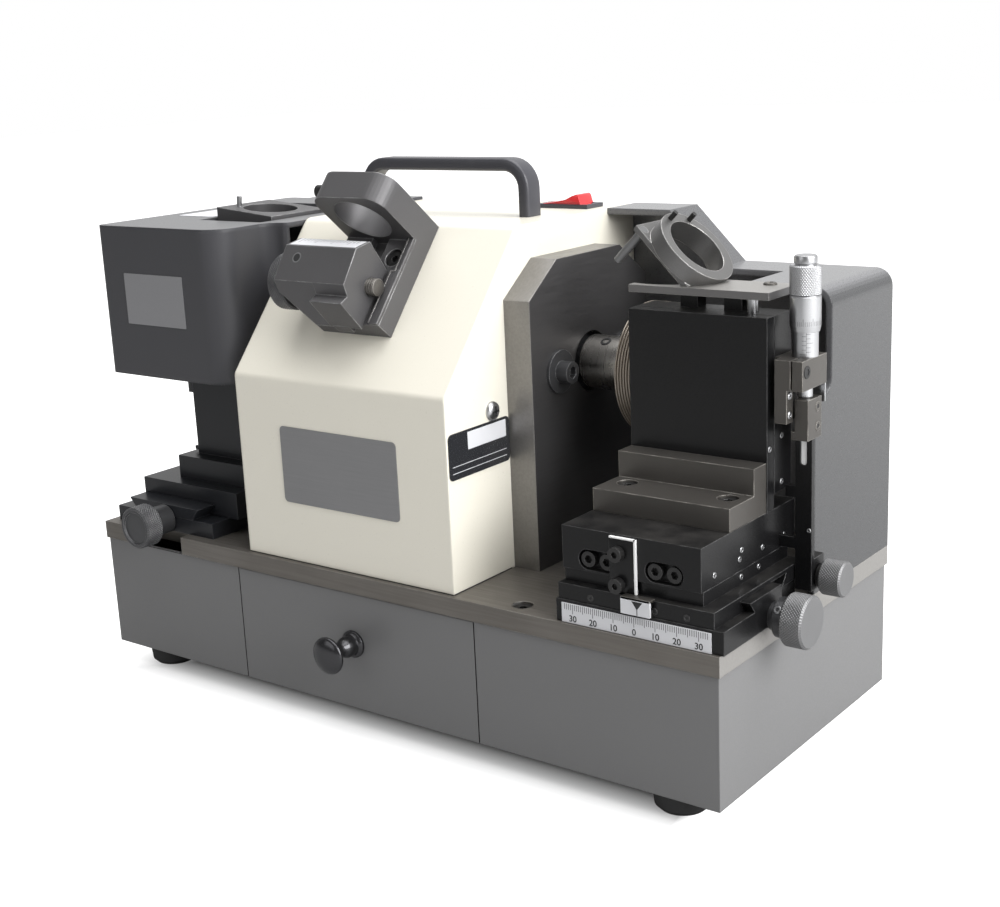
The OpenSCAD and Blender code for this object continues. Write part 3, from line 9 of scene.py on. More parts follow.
import logging
import math
from dataclasses import dataclass
from enum import Enum
from functools import cache, partial
from typing import Sequence

import bmesh
import bpy
from mathutils import Matrix, Vector


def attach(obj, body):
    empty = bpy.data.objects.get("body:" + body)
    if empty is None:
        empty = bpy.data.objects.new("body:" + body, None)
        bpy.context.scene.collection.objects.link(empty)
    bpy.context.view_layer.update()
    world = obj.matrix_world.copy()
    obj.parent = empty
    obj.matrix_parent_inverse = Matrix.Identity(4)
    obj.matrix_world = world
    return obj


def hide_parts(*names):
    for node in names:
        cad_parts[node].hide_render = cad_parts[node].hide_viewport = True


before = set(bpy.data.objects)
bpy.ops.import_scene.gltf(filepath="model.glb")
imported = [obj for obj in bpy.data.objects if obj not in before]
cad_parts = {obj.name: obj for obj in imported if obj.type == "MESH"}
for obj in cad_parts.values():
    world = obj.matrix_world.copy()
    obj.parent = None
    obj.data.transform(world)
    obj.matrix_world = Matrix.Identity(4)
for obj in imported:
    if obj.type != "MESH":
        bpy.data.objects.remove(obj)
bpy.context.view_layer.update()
LOG = logging.getLogger("grinder")

Point = Sequence[float]
Box = tuple[Point, Point]
Triple = tuple[float, float, float]
Piece = bpy.types.Object
Socket = bpy.types.NodeSocket
Tree = bpy.types.NodeTree
BMesh = bmesh.types.BMesh

ORIGIN = Vector((9.25, 70.75, -77.5))
MM = 0.001
FULL_TURN = 2 * math.pi
SHARP_ANGLE = math.radians(33)
EDGE_STEPS = 2
KNURL_FACETS = 4
SCREW_AROUND = 36
DIGIT_SCALE = 1.38


def place(x: float, y: float, z: float) -> Vector:
    """Turns a point of the plate frame into the row frame.

    Args:
        x: Millimetres right of the plate's middle.
        y: Millimetres behind the plate's front edge.
        z: Millimetres above the plate's top.

    Returns:
        The point in metres of the row frame.
    """
    return (Vector((x, y, z)) - ORIGIN) * MM


class Body(Enum):
    """Bodies of the frame that new pieces ride on."""

    BASE = "base"
    DRAWER = "drawer"
    ROCKER = "rocker"
    SPINDLE = "spindle"
    FEED = "feed"
    SADDLE = "saddle"
    CROSS = "cross_slide"
    LIFT = "lift"
    THIMBLE = "thimble"
    LOCK = "lock"
    GAUGE = "gauge_slide"
    CLAMP = "gauge_clamp"
    LEFT = "left_slide"
    LEFT_FEED = "left_feed"


class Axis(Enum):
    """Directions along which pieces are turned or drawn out."""

    X = (1.0, 0.0, 0.0)
    Z = (0.0, 0.0, 1.0)
    FRONT = (0.0, -1.0, 0.0)
    LEFT = (-1.0, 0.0, 0.0)


@dataclass(frozen=True)
class Pose:
    """A local frame: an origin in plate millimetres and a rotation.

    Attributes:
        origin: Where the local zero lies.
        turn: Rotation from local to plate directions.
    """

    origin: Vector
    turn: Matrix

    @staticmethod
    def along(origin: Point, axis: Axis | Point) -> Pose:
        """A frame whose local +Z runs along an axis.

        Args:
            origin: Local zero in plate millimetres.
            axis: Direction of local +Z.

        Returns:
            The frame.
        """
        ahead = Vector(axis.value if isinstance(axis, Axis) else axis).normalized()
        return Pose(Vector(origin), Vector((0, 0, 1)).rotation_difference(ahead).to_matrix())

    def __call__(self, p: Point) -> Vector:
        """Turns a local point into plate millimetres.

        Args:
            p: Local point.

        Returns:
            The plate point.
        """
        return self.origin + self.turn @ Vector(p)


PLAIN = Pose(Vector((0, 0, 0)), Matrix.Identity(3))
SLOPE = Pose(Vector((0, 2.7, 89)), Matrix.Rotation(math.radians(49.9), 3, "X"))


def on_face(turn: Matrix, x: float, y: float, z: float) -> Pose:
    """A frame on a plain face of the machine.

    Args:
        turn: Rotation from the face's directions to the plate's.
        x: Plate x of local zero.
        y: Plate y of local zero.
        z: Plate z of local zero.

    Returns:
        The frame, local z out of the face.
    """
    return Pose(Vector((x, y, z)), turn)


# Faces that look to the front, to the right and up; local y runs up on the first two
on_front = partial(on_face, Matrix(((1, 0, 0), (0, 0, -1), (0, 1, 0))))
on_right = partial(on_face, Matrix(((0, 0, 1), (1, 0, 0), (0, 1, 0))))
on_top = partial(on_face, Matrix.Identity(3))


def on_slope(x: float, u: float, d: float, fall: float) -> Pose:
    """A frame on a face of the setting gauge.

    Args:
        x: Plate x of local zero.
        u: Distance up the slope.
        d: Distance out of the slope.
        fall: Degrees by which the face leans up the slope.

    Returns:
        The frame, local x right, y up the face, z out.
    """
    return Pose(SLOPE((x, u, d)), SLOPE.turn @ Matrix.Rotation(math.radians(-fall), 3, "X"))


@dataclass(frozen=True)
class PlateSize:
    """Sizes of a thin plate in its face's frame.

    Attributes:
        x0: Lowest local x.
        x1: Highest local x.
        y0: Lowest local y.
        y1: Highest local y.
        corner: Corner radius.
        thick: Thickness.
    """

    x0: float
    x1: float
    y0: float
    y1: float
    corner: float
    thick: float


@dataclass(frozen=True)
class ScrewSize:
    """Sizes of a socket screw.

    Attributes:
        head_r: Radius of the head.
        head_h: Height of the head.
        hex_r: Corner radius of the hexagon.
        deep: Depth of the hexagon.
        edge: Chamfer of the head.
    """

    head_r: float
    head_h: float
    hex_r: float
    deep: float
    edge: float = 0.15


@dataclass(frozen=True)
class KnobSize:
    """Sizes of a knurled knob.

    Attributes:
        radius: Radius over the knurl.
        length: Length along the axis.
        teeth: Diamonds round the knob.
        rows: Diamonds along the knob.
        depth: Depth of the knurl.
        edge: Width of the plain chamfer at each end.
        dish: Depth of the dished face.
    """

    radius: float
    length: float
    teeth: int
    rows: int
    depth: float
    edge: float
    dish: float = 0.0


def linked(name: str, data: bpy.types.ID) -> Piece:
    """Makes an object and links it to the scene.

    Args:
        name: Object name.
        data: Its mesh, curve, camera or light.

    Returns:
        The object.
    """
    obj = bpy.data.objects.new(name, data)
    bpy.context.scene.collection.objects.link(obj)
    return obj


def mesh_object(name: str, bm: BMesh) -> Piece:
    """Makes an object of a bmesh.

    Args:
        name: Object name.
        bm: Mesh in metres of the row frame; it is freed.

    Returns:
        The object.
    """
    mesh = bpy.data.meshes.new(name)
    bm.to_mesh(mesh)
    bm.free()
    return linked(name, mesh)


def joined(name: str, pieces: Sequence[Piece]) -> Piece:
    """Puts several meshes into one object.

    Args:
        name: Object name.
        pieces: Objects to join; they are removed.

    Returns:
        The joined object.
    """
    bm = bmesh.new()
    for piece in pieces:
        mesh = piece.data
        bm.from_mesh(mesh)
        bpy.data.objects.remove(piece)
        bpy.data.meshes.remove(mesh)
    return mesh_object(name, bm)


def ring(radius: float | list[float], height: float, around: int) -> list[Triple]:
    """Points of a ring about local +Z.

    Args:
        radius: One radius, or one for each point; 0 gives a single point.
        height: Height of the ring.
        around: Number of points.

    Returns:
        The points.
    """
    if radius == 0:
        return [(0, 0, height)]
    radii = radius if isinstance(radius, list) else [radius] * around
    turns = [FULL_TURN * i / around for i in range(around)]
    return [(r * math.cos(a), r * math.sin(a), height) for r, a in zip(radii, turns)]


def rounded(corners: Sequence[Point], radius: float | Sequence[float], steps: int = 6) -> list[Point]:
    """Rounds the corners of a closed outline.

    Args:
        corners: Corners in order.
        radius: One radius, or one for each corner.
        steps: Segments of a rounded corner.

    Returns:
        The rounded outline.
    """
    n = len(corners)
    radii = [radius] * n if isinstance(radius, (int, float)) else radius
    out: list[Point] = []
    for i, r in enumerate(radii):
        a, b, c = (Vector(corners[(i + k) % n][:2]) for k in (-1, 0, 1))
        if r <= 0:
            out.append((b.x, b.y))
            continue
        u, v = (a - b).normalized(), (c - b).normalized()
        half = math.acos(max(-1, min(1, u.dot(v)))) / 2
        mid = b + (u + v).normalized() * (r / math.sin(half))
        s, e = b + u * (r / math.tan(half)) - mid, b + v * (r / math.tan(half)) - mid
        sweep = (math.pi - 2 * half) * (1 if s.x * e.y - s.y * e.x > 0 else -1)
        for k in range(steps + 1):
            p = mid + Matrix.Rotation(sweep * k / steps, 2) @ s
            out.append((p.x, p.y))
    return out


def rectangle(x0: float, x1: float, y0: float, y1: float) -> list[Point]:
    """Corners of a rectangle, anticlockwise.

    Args:
        x0: Lowest x.
        x1: Highest x.
        y0: Lowest y.
        y1: Highest y.

    Returns:
        Four corners.
    """
    return [(x0, y0), (x1, y0), (x1, y1), (x0, y1)]


class MeshKit:
    """Makes the meshes of new pieces in plate millimetres."""

    @staticmethod
    def finish(name: str, bm: BMesh, pose: Pose = PLAIN) -> Piece:
        """Turns a bmesh into an object with smooth faces and sharp corners.

        Args:
            name: Object name.
            bm: Mesh in local millimetres; it is freed.
            pose: Where the local frame lies.

        Returns:
            The linked object, its vertices in the row frame.
        """
        for v in bm.verts:
            v.co = place(*pose(v.co))
        bmesh.ops.recalc_face_normals(bm, faces=bm.faces)
        for f in bm.faces:
            f.smooth = True
        for e in bm.edges:
            e.smooth = e.calc_face_angle(0.0) < SHARP_ANGLE
        return mesh_object(name, bm)

    @staticmethod
    def loft(rings: Sequence[Sequence[Point]], capped: bool) -> tuple[BMesh, list[bmesh.types.BMFace]]:
        """Joins rings of points with faces.

        Args:
            rings: Rings with as many points each; a ring of one point is a tip.
            capped: Whether both end rings are closed.

        Returns:
            The mesh and its end faces.
        """
        bm = bmesh.new()
        verts = [[bm.verts.new(p) for p in points] for points in rings]
        around = max(len(points) for points in rings)
        for a, b in zip(verts, verts[1:]):
            for i in range(around):
                j = (i + 1) % around
                quad = (a[i % len(a)], a[j % len(a)], b[j % len(b)], b[i % len(b)])
                corners = list(dict.fromkeys(quad))
                if len(corners) > 2:
                    bm.faces.new(corners)
        ends = [bm.faces.new(verts[0][::-1]), bm.faces.new(verts[-1])] if capped else []
        return bm, ends

    @staticmethod
    def round_edges(bm: BMesh, edges: Sequence[bmesh.types.BMEdge], radius: float) -> None:
        """Rounds edges of a mesh.

        Args:
            bm: The mesh.
            edges: Its edges to round.
            radius: Edge radius, or 0 for sharp edges.
        """
        if radius > 0:
            bmesh.ops.bevel(bm, geom=edges, offset=radius, segments=EDGE_STEPS, affect="EDGES", profile=0.5)

    @classmethod
    def boxes(cls, name: str, corners: Sequence[Box], edge: float = 0.0, pose: Pose = PLAIN) -> Piece:
        """One or more boxes in one mesh.

        Args:
            name: Object name.
            corners: Lowest and highest corner of each box.
            edge: Edge radius, or 0 for sharp edges.
            pose: Local frame.

        Returns:
            The object.
        """
        bm = bmesh.new()
        for lo, hi in corners:
            for v in bmesh.ops.create_cube(bm, size=1.0)["verts"]:
                v.co = Vector([(a + b) / 2 + c * (b - a) for a, b, c in zip(lo, hi, v.co)])
        cls.round_edges(bm, bm.edges[:], edge)
        return cls.finish(name, bm, pose)

    @classmethod
    def prism(cls, name: str, outline: Sequence[Point], height: float, edge: float, pose: Pose) -> Piece:
        """An outline in local x and y, drawn out along local +Z.

        Args:
            name: Object name.
            outline: Corners in order.
            height: Length along local +Z.
            edge: Radius of the edges round both ends.
            pose: Local frame.

        Returns:
            The object.
        """
        bm, ends = cls.loft([[(x, y, h) for x, y in outline] for h in (0, height)], True)
        cls.round_edges(bm, [e for f in ends for e in f.edges], edge)
        return cls.finish(name, bm, pose)

    @classmethod
    def turned(cls, name: str, profile: Sequence[Point], pose: Pose, around: int) -> Piece:
        """A profile of (radius, height) turned about local +Z.

        Args:
            name: Object name.
            profile: Points from one end to the other; radius 0 closes an end.
            pose: Local frame.
            around: Segments round the axis.

        Returns:
            The object.
        """
        bm, _ = cls.loft([ring(r, h, around) for r, h in profile], False)
        return cls.finish(name, bm, pose)

    @classmethod
    def knurled(cls, name: str, pose: Pose, size: KnobSize) -> Piece:
        """A knob with a diamond knurl round it.

        Args:
            name: Object name.
            pose: Frame whose local +Z is the knob's axis, zero at its back.
            size: Sizes of the knob.

        Returns:
            The object.
        """
        around, along = size.teeth * KNURL_FACETS, size.rows * KNURL_FACETS
        inner = size.radius - size.depth - size.edge * 0.6
        rings = [ring(inner, 0.0, around)]
        for k in range(along + 1):
            radii = []
            for i in range(around):
                u, v = i / KNURL_FACETS, k / KNURL_FACETS
                wave = max(abs((u + v) % 1 - 0.5), abs((u - v) % 1 - 0.5)) * 2
                radii.append(size.radius - size.depth * wave**2)
            rings.append(ring(radii, size.edge + (size.length - 2 * size.edge) * k / along, around))
        rings.append(ring(inner, size.length, around))
        if size.dish > 0:
            rings.append(ring(inner * 0.86, size.length, around))
            rings.append(ring(inner * 0.80, size.length - size.dish, around))
        bm, _ = cls.loft(rings, True)
        return cls.finish(name, bm, pose)

    @classmethod
    def socket_screw(cls, name: str, pose: Pose, size: ScrewSize) -> Piece:
        """The head of a socket screw, or a set screw's end, with a hexagon hole.

        Args:
            name: Object name.
            pose: Frame whose local +Z leaves the head, zero at its seat.
            size: Sizes of the screw.

        Returns:
            The object.
        """
        sixth = FULL_TURN / 6
        turns = [FULL_TURN * i / SCREW_AROUND for i in range(SCREW_AROUND)]
        hexagon = [size.hex_r * math.cos(sixth / 2) / math.cos(a % sixth - sixth / 2) for a in turns]
        top, chamfer = size.head_h, size.edge
        steps = ((size.head_r, 0), (size.head_r, top - chamfer), (size.head_r - chamfer, top), (hexagon, top),
                 (hexagon, top - size.deep))
        bm, _ = cls.loft([ring(r, h, SCREW_AROUND) for r, h in steps], True)
        return cls.finish(name, bm, pose)

    @classmethod
    def swept(cls, name: str, path: Sequence[Point], side: Point, section: Sequence[Point]) -> Piece:
        """A flat section swept along a planar path.

        Args:
            name: Object name.
            path: Points of the path in plate millimetres.
            side: Direction square to the path's plane, the section's x.
            section: Section outline, x along side and y outward from the path.

        Returns:
            The object.
        """
        pts = [Vector(p) for p in path]
        across = Vector(side).normalized()
        rings = []
        for i, p in enumerate(pts):
            ahead = (pts[min(i + 1, len(pts) - 1)] - pts[max(i - 1, 0)]).normalized()
            out = across.cross(ahead).normalized()
            rings.append([p + across * s[0] + out * s[1] for s in section])
        bm, _ = cls.loft(rings, True)
        return cls.finish(name, bm)

    @classmethod
    def ticks(cls, name: str, pose: Pose, ticks: Sequence[Point], width: float) -> Piece:
        """Thin lines along a turned surface.

        Args:
            name: Object name.
            pose: Frame whose local +Z is the axis.
            ticks: For each line its angle in degrees, then radius and height at both ends.
            width: Width of a line.

        Returns:
            The object.
        """
        bm = bmesh.new()
        for angle, r0, h0, r1, h1 in ticks:
            a = math.radians(angle)
            out = Vector((math.cos(a), math.sin(a), 0))
            side = Vector((-math.sin(a), math.cos(a), 0)) * width / 2
            low, high = out * r0 + Vector((0, 0, h0)), out * r1 + Vector((0, 0, h1))
            bm.faces.new([bm.verts.new(p) for p in (low - side, low + side, high + side, high - side)])
        return cls.finish(name, bm, pose)

    @classmethod
    def number(cls, name: str, digits: str, size: float, pose: Pose) -> Piece:
        """A plain number standing on local x and y, centred on local zero.

        Args:
            name: Object name.
            digits: The digits.
            size: Height of the digits.
            pose: Local frame; the digits face local +Z.

        Returns:
            The object.
        """
        curve = bpy.data.curves.new(name, "FONT")
        curve.body = digits
        curve.size = size * DIGIT_SCALE
        curve.align_x = curve.align_y = "CENTER"
        curve.extrude = 0.03
        curve.offset = 0.05
        holder = linked(name + "_font", curve)
        bpy.context.view_layer.update()
        mesh = bpy.data.meshes.new_from_object(holder.evaluated_get(bpy.context.evaluated_depsgraph_get()))
        bpy.data.objects.remove(holder)
        bm = bmesh.new()
        bm.from_mesh(mesh)
        bpy.data.meshes.remove(mesh)
        return cls.finish(name, bm, pose)


class Graph:
    """Adds and links shader nodes in one tree."""

    def __init__(self, tree: Tree) -> None:
        """Starts on a tree.

        Args:
            tree: The tree to fill.
        """
        self.tree = tree

    def feed(self, node: bpy.types.Node, inputs: dict[str | int, object]) -> None:
        """Links the inputs that are sockets and sets the others.

        Args:
            node: The node.
            inputs: Value or source socket by input name or index.
        """
        for key, value in inputs.items():
            if isinstance(value, Socket):
                self.tree.links.new(value, node.inputs[key])
            else:
                node.inputs[key].default_value = value

    def add(self, kind: str, inputs: dict[str | int, object] | None = None, **settings: object) -> bpy.types.Node:
        """Adds a node.

        Args:
            kind: Node type name.
            inputs: Value or source socket by input name or index.
            **settings: Properties of the node.

        Returns:
            The node.
        """
        node = self.tree.nodes.new(kind)
        for key, value in settings.items():
            setattr(node, key, value)
        self.feed(node, inputs or {})
        return node

    def group(self, tree: Tree, *values: float) -> bpy.types.NodeOutputs:
        """Adds a node group.

        Args:
            tree: The group.
            *values: Its inputs in order.

        Returns:
            The outputs of the group.
        """
        return self.add("ShaderNodeGroup", dict(enumerate(values)), node_tree=tree).outputs

    def mix(self, fac: object, a: object, b: object) -> Socket:
        """Mixes two colours.

        Args:
            fac: Share of b, a value or a socket.
            a: First colour or socket.
            b: Second colour or socket.

        Returns:
            The mixed colour.
        """
        return self.add("ShaderNodeMix", {0: fac, 6: a, 7: b}, data_type="RGBA").outputs[2]

    def math(self, operation: str, a: object, b: object, clamp: bool = False) -> Socket:
        """One sum on two values.

        Args:
            operation: Blender's name of the operation.
            a: First value or socket.
            b: Second value or socket.
            clamp: Whether the result stays between 0 and 1.

        Returns:
            The result.
        """
        return self.add("ShaderNodeMath", {0: a, 1: b}, operation=operation, use_clamp=clamp).outputs[0]

    def spread(self, value: Socket, low: float, high: float, to_low: float = 0.0, to_high: float = 1.0) -> Socket:
        """Maps one range to another, clamped.

        Args:
            value: Source.
            low: Source value that gives to_low.
            high: Source value that gives to_high.
            to_low: Lowest result.
            to_high: Highest result.

        Returns:
            The mapped value.
        """
        return self.add("ShaderNodeMapRange", {0: value, 1: low, 2: high, 3: to_low, 4: to_high}).outputs[0]

    def where(self) -> Socket:
        """The place on the object.

        Returns:
            Object coordinates.
        """
        return self.add("ShaderNodeTexCoord").outputs["Object"]

    def noise(self, where: Socket, scale: object, detail: float) -> Socket:
        """Noise of some scale.

        Args:
            where: Where it is read.
            scale: Noise scale, a value or a socket.
            detail: Noise detail.

        Returns:
            The noise.
        """
        return self.add("ShaderNodeTexNoise", {"Vector": where, "Scale": scale, "Detail": detail}).outputs[0]

    def parts(self, vector: Socket) -> bpy.types.NodeOutputs:
        """Splits a vector.

        Args:
            vector: The vector.

        Returns:
            Its x, y and z.
        """
        return self.add("ShaderNodeSeparateXYZ", {0: vector}).outputs

    def normal(self) -> Socket:
        """The direction in which the surface looks.

        Returns:
            The normal.
        """
        return self.add("ShaderNodeNewGeometry").outputs["Normal"]


class Effects:
    """Shared node groups: grain, brushed lines, edge wear with a painted edge highlight, a pale patchy tint on upper
    faces, and painted light and shade by face direction.
    """

    @staticmethod
    def start(name: str, inputs: dict[str, float], *outputs: str) -> tuple[Graph, bpy.types.NodeOutputs]:
        """Starts a node group.

        Args:
            name: Name of the group.
            inputs: Default by input name.
            *outputs: Names of its outputs.

        Returns:
            The group's graph and the values that come in.
        """
        tree = bpy.data.node_groups.new(name, "ShaderNodeTree")
        for key, value in inputs.items():
            socket = tree.interface.new_socket(key, in_out="INPUT", socket_type="NodeSocketFloat")
            socket.default_value = value
        for key in outputs:
            kind = "NodeSocketVector" if key == "Normal" else "NodeSocketFloat"
            tree.interface.new_socket(key, in_out="OUTPUT", socket_type=kind)
        graph = Graph(tree)
        return graph, graph.add("NodeGroupInput").outputs

    @staticmethod
    @cache
    def grain() -> Tree:
        """Fine and broad noise of a surface.

        Returns:
            A group with inputs Size and Broad in millimetres and outputs Fine and Broad.
        """
        g, given = Effects.start("surface_grain", {"Size": 0.5, "Broad": 40.0}, "Fine", "Broad")
        where = g.where()
        fine = g.noise(where, g.math("DIVIDE", 1 / MM, given["Size"]), 4.0)
        broad = g.noise(where, g.math("DIVIDE", 1 / MM, given["Broad"]), 3.0)
        g.add("NodeGroupOutput", {"Fine": fine, "Broad": broad})
        return g.tree

    @staticmethod
    @cache
    def brushed() -> Tree:
        """Fine lines along one direction.

        Returns:
            A group with inputs X, Y and Z, the noise scale along each direction, and output Lines.
        """
        g, given = Effects.start("brushed_lines", {"X": 40.0, "Y": 2500.0, "Z": 2500.0}, "Lines")
        stretch = g.add("ShaderNodeCombineXYZ", {i: given[i] for i in range(3)}).outputs[0]
        scaled = g.add("ShaderNodeVectorMath", {0: g.where(), 1: stretch}, operation="MULTIPLY").outputs[0]
        g.add("NodeGroupOutput", {"Lines": g.noise(scaled, 1.0, 3.0)})
        return g.tree

    @staticmethod
    @cache
    def edges() -> Tree:
        """Rounded edge normals and a mask of worn edges, which also paints a highlight along them.

        Returns:
            A group with inputs Radius in millimetres and WearAndHighlight, and outputs Normal and Mask.
        """
        g, given = Effects.start("edge_wear_and_highlight", {"Radius": 0.5, "WearAndHighlight": 0.5}, "Normal", "Mask")
        radius = g.math("MULTIPLY", given["Radius"], MM)
        bevel = g.add("ShaderNodeBevel", {"Radius": radius}, samples=6).outputs[0]
        dot = g.add("ShaderNodeVectorMath", {0: bevel, 1: g.normal()}, operation="DOT_PRODUCT").outputs["Value"]
        patches = g.spread(g.noise(g.where(), 160.0, 4.0), 0.3, 0.65)
        # Worn patches along the edges, which also paint an edge highlight.
        worn_and_lit = g.math("MULTIPLY", g.spread(dot, 0.995, 0.85), patches)
        mask = g.math("MULTIPLY", worn_and_lit, given["WearAndHighlight"], True)
        g.add("NodeGroupOutput", {"Normal": bevel, "Mask": mask})
        return g.tree

    @staticmethod
    @cache
    def dust() -> Tree:
        """A pale patchy tint on faces that look up, which makes them lighter.

        Returns:
            A group with input Amount and output Mask.
        """
        g, given = Effects.start("upward_tint_mask", {"Amount": 0.2}, "Mask")
        up = g.spread(g.parts(g.normal())[2], 0.5, 1.0)
        film = g.math("MULTIPLY", up, g.spread(g.noise(g.where(), 70.0, 5.0), 0.35, 0.75))
        g.add("NodeGroupOutput", {"Mask": g.math("MULTIPLY", film, given["Amount"], True)})
        return g.tree

    @staticmethod
    @cache
    def flank() -> Tree:
        """Marks the faces that look to the front, to the right and up, for a second colour that paints light and shade
        by how light falls on them.

        Returns:
            A group with inputs Front, Right and Top and output Mask.
        """
        g, given = Effects.start("painted_side_light_mask", {"Front": 0.0, "Right": 0.85, "Top": 0.0}, "Mask")
        x, y, z = g.parts(g.normal())
        looks = {"Right": x, "Front": g.math("MULTIPLY", y, -1.0), "Top": z}
        right, front, top = (g.math("MULTIPLY", g.spread(v, 0.5, 0.9), given[k]) for k, v in looks.items())
        g.add("NodeGroupOutput", {"Mask": g.math("ADD", g.math("ADD", right, front), top, True)})
        return g.tree


@dataclass(frozen=True)
class Finish:
    """A procedural finish.

    Attributes:
        name: Material name.
        colour: Main colour, linear.
        second: Colour of the broad and fine variation.
        metallic: Share of metal.
        rough: Mean roughness.
        grain: Size of the fine grain in millimetres.
        bump: Height of the grain in millimetres.
        edge: Radius of the rounded edges in millimetres.
        wear: How strongly edges show the edge colour, as wear and as a painted highlight.
        edge_colour: Lighter colour of worn edges, which also paints their highlight.
        rough_var: Roughness variation.
        vary: Share of the second colour at most.
        coat: Clear coat weight.
        specular: Specular level of the surface.
        dust: Amount of the pale patchy tint on upper faces.
        lines: Noise scales of brushed lines, or None.
        flank: Colour painted on faces by their direction, as the light and shade that falls on them, or None.
        flank_share: Share of that painted light and shade on front, right and top faces.
    """

    name: str
    colour: Triple
    second: Triple
    metallic: float
    rough: float
    grain: float
    bump: float
    edge: float
    wear: float
    edge_colour: Triple = (0.5, 0.5, 0.5)
    rough_var: float = 0.1
    vary: float = 0.6
    coat: float = 0.0
    specular: float = 0.5
    dust: float = 0.0
    lines: Triple | None = None
    flank: Triple | None = None
    flank_share: Triple = (0.0, 0.85, 0.0)

    @cache
    def material(self) -> bpy.types.Material:
        """Builds the material once and returns it.

        Returns:
            The material.
        """
        low, high, line_share = 0.3, 0.7, 0.75
        upward_tint_colour, upward_tint_rough, coat_rough = (0.42, 0.4, 0.37, 1), 0.35, 0.12
        mat = bpy.data.materials.new(self.name)
        mat.use_nodes = True
        mat.node_tree.nodes.clear()
        g = Graph(mat.node_tree)
        grain = g.group(Effects.grain(), self.grain)
        edges = g.group(Effects.edges(), self.edge, self.wear)
        broad, fine = g.spread(grain["Broad"], low, high, 0.0, self.vary), grain["Fine"]
        if self.lines is not None:
            lines = g.math("MULTIPLY", g.group(Effects.brushed(), *self.lines)[0], line_share)
            fine = g.math("ADD", lines, g.math("MULTIPLY", fine, 1 - line_share))
        speck = g.math("MULTIPLY", g.math("ADD", broad, g.spread(fine, low, high, 0.0, self.vary)), 0.5)
        colour = g.mix(speck, (*self.colour, 1), (*self.second, 1))
        # Painted light and shade: front, right and top faces get a second colour by how light falls on them.
        if self.flank is not None:
            colour = g.mix(g.group(Effects.flank(), *self.flank_share)["Mask"], colour, (*self.flank, 1))
        # Worn edges in a lighter colour, which also paints a highlight along them.
        colour = g.mix(edges["Mask"], colour, (*self.edge_colour, 1))
        rough = g.spread(fine, low, high, self.rough - self.rough_var / 2, self.rough + self.rough_var / 2)
        # Upper faces get a pale patchy tint and a little more roughness.
        if self.dust > 0:
            film = g.group(Effects.dust(), self.dust)["Mask"]
            colour = g.mix(film, colour, upward_tint_colour)
            rough = g.math("ADD", rough, g.math("MULTIPLY", film, upward_tint_rough), True)
        bump = g.add("ShaderNodeBump", {"Strength": 1.0, "Distance": self.bump * MM, "Height": fine,
                                        "Normal": edges["Normal"]})
        shader = g.add("ShaderNodeBsdfPrincipled", {
            "Base Color": colour, "Roughness": rough, "Metallic": self.metallic, "Coat Weight": self.coat,
            "Coat Roughness": coat_rough, "Specular IOR Level": self.specular, "Normal": bump.outputs[0]})
        g.add("ShaderNodeOutputMaterial", {0: shader.outputs[0]})
        return mat


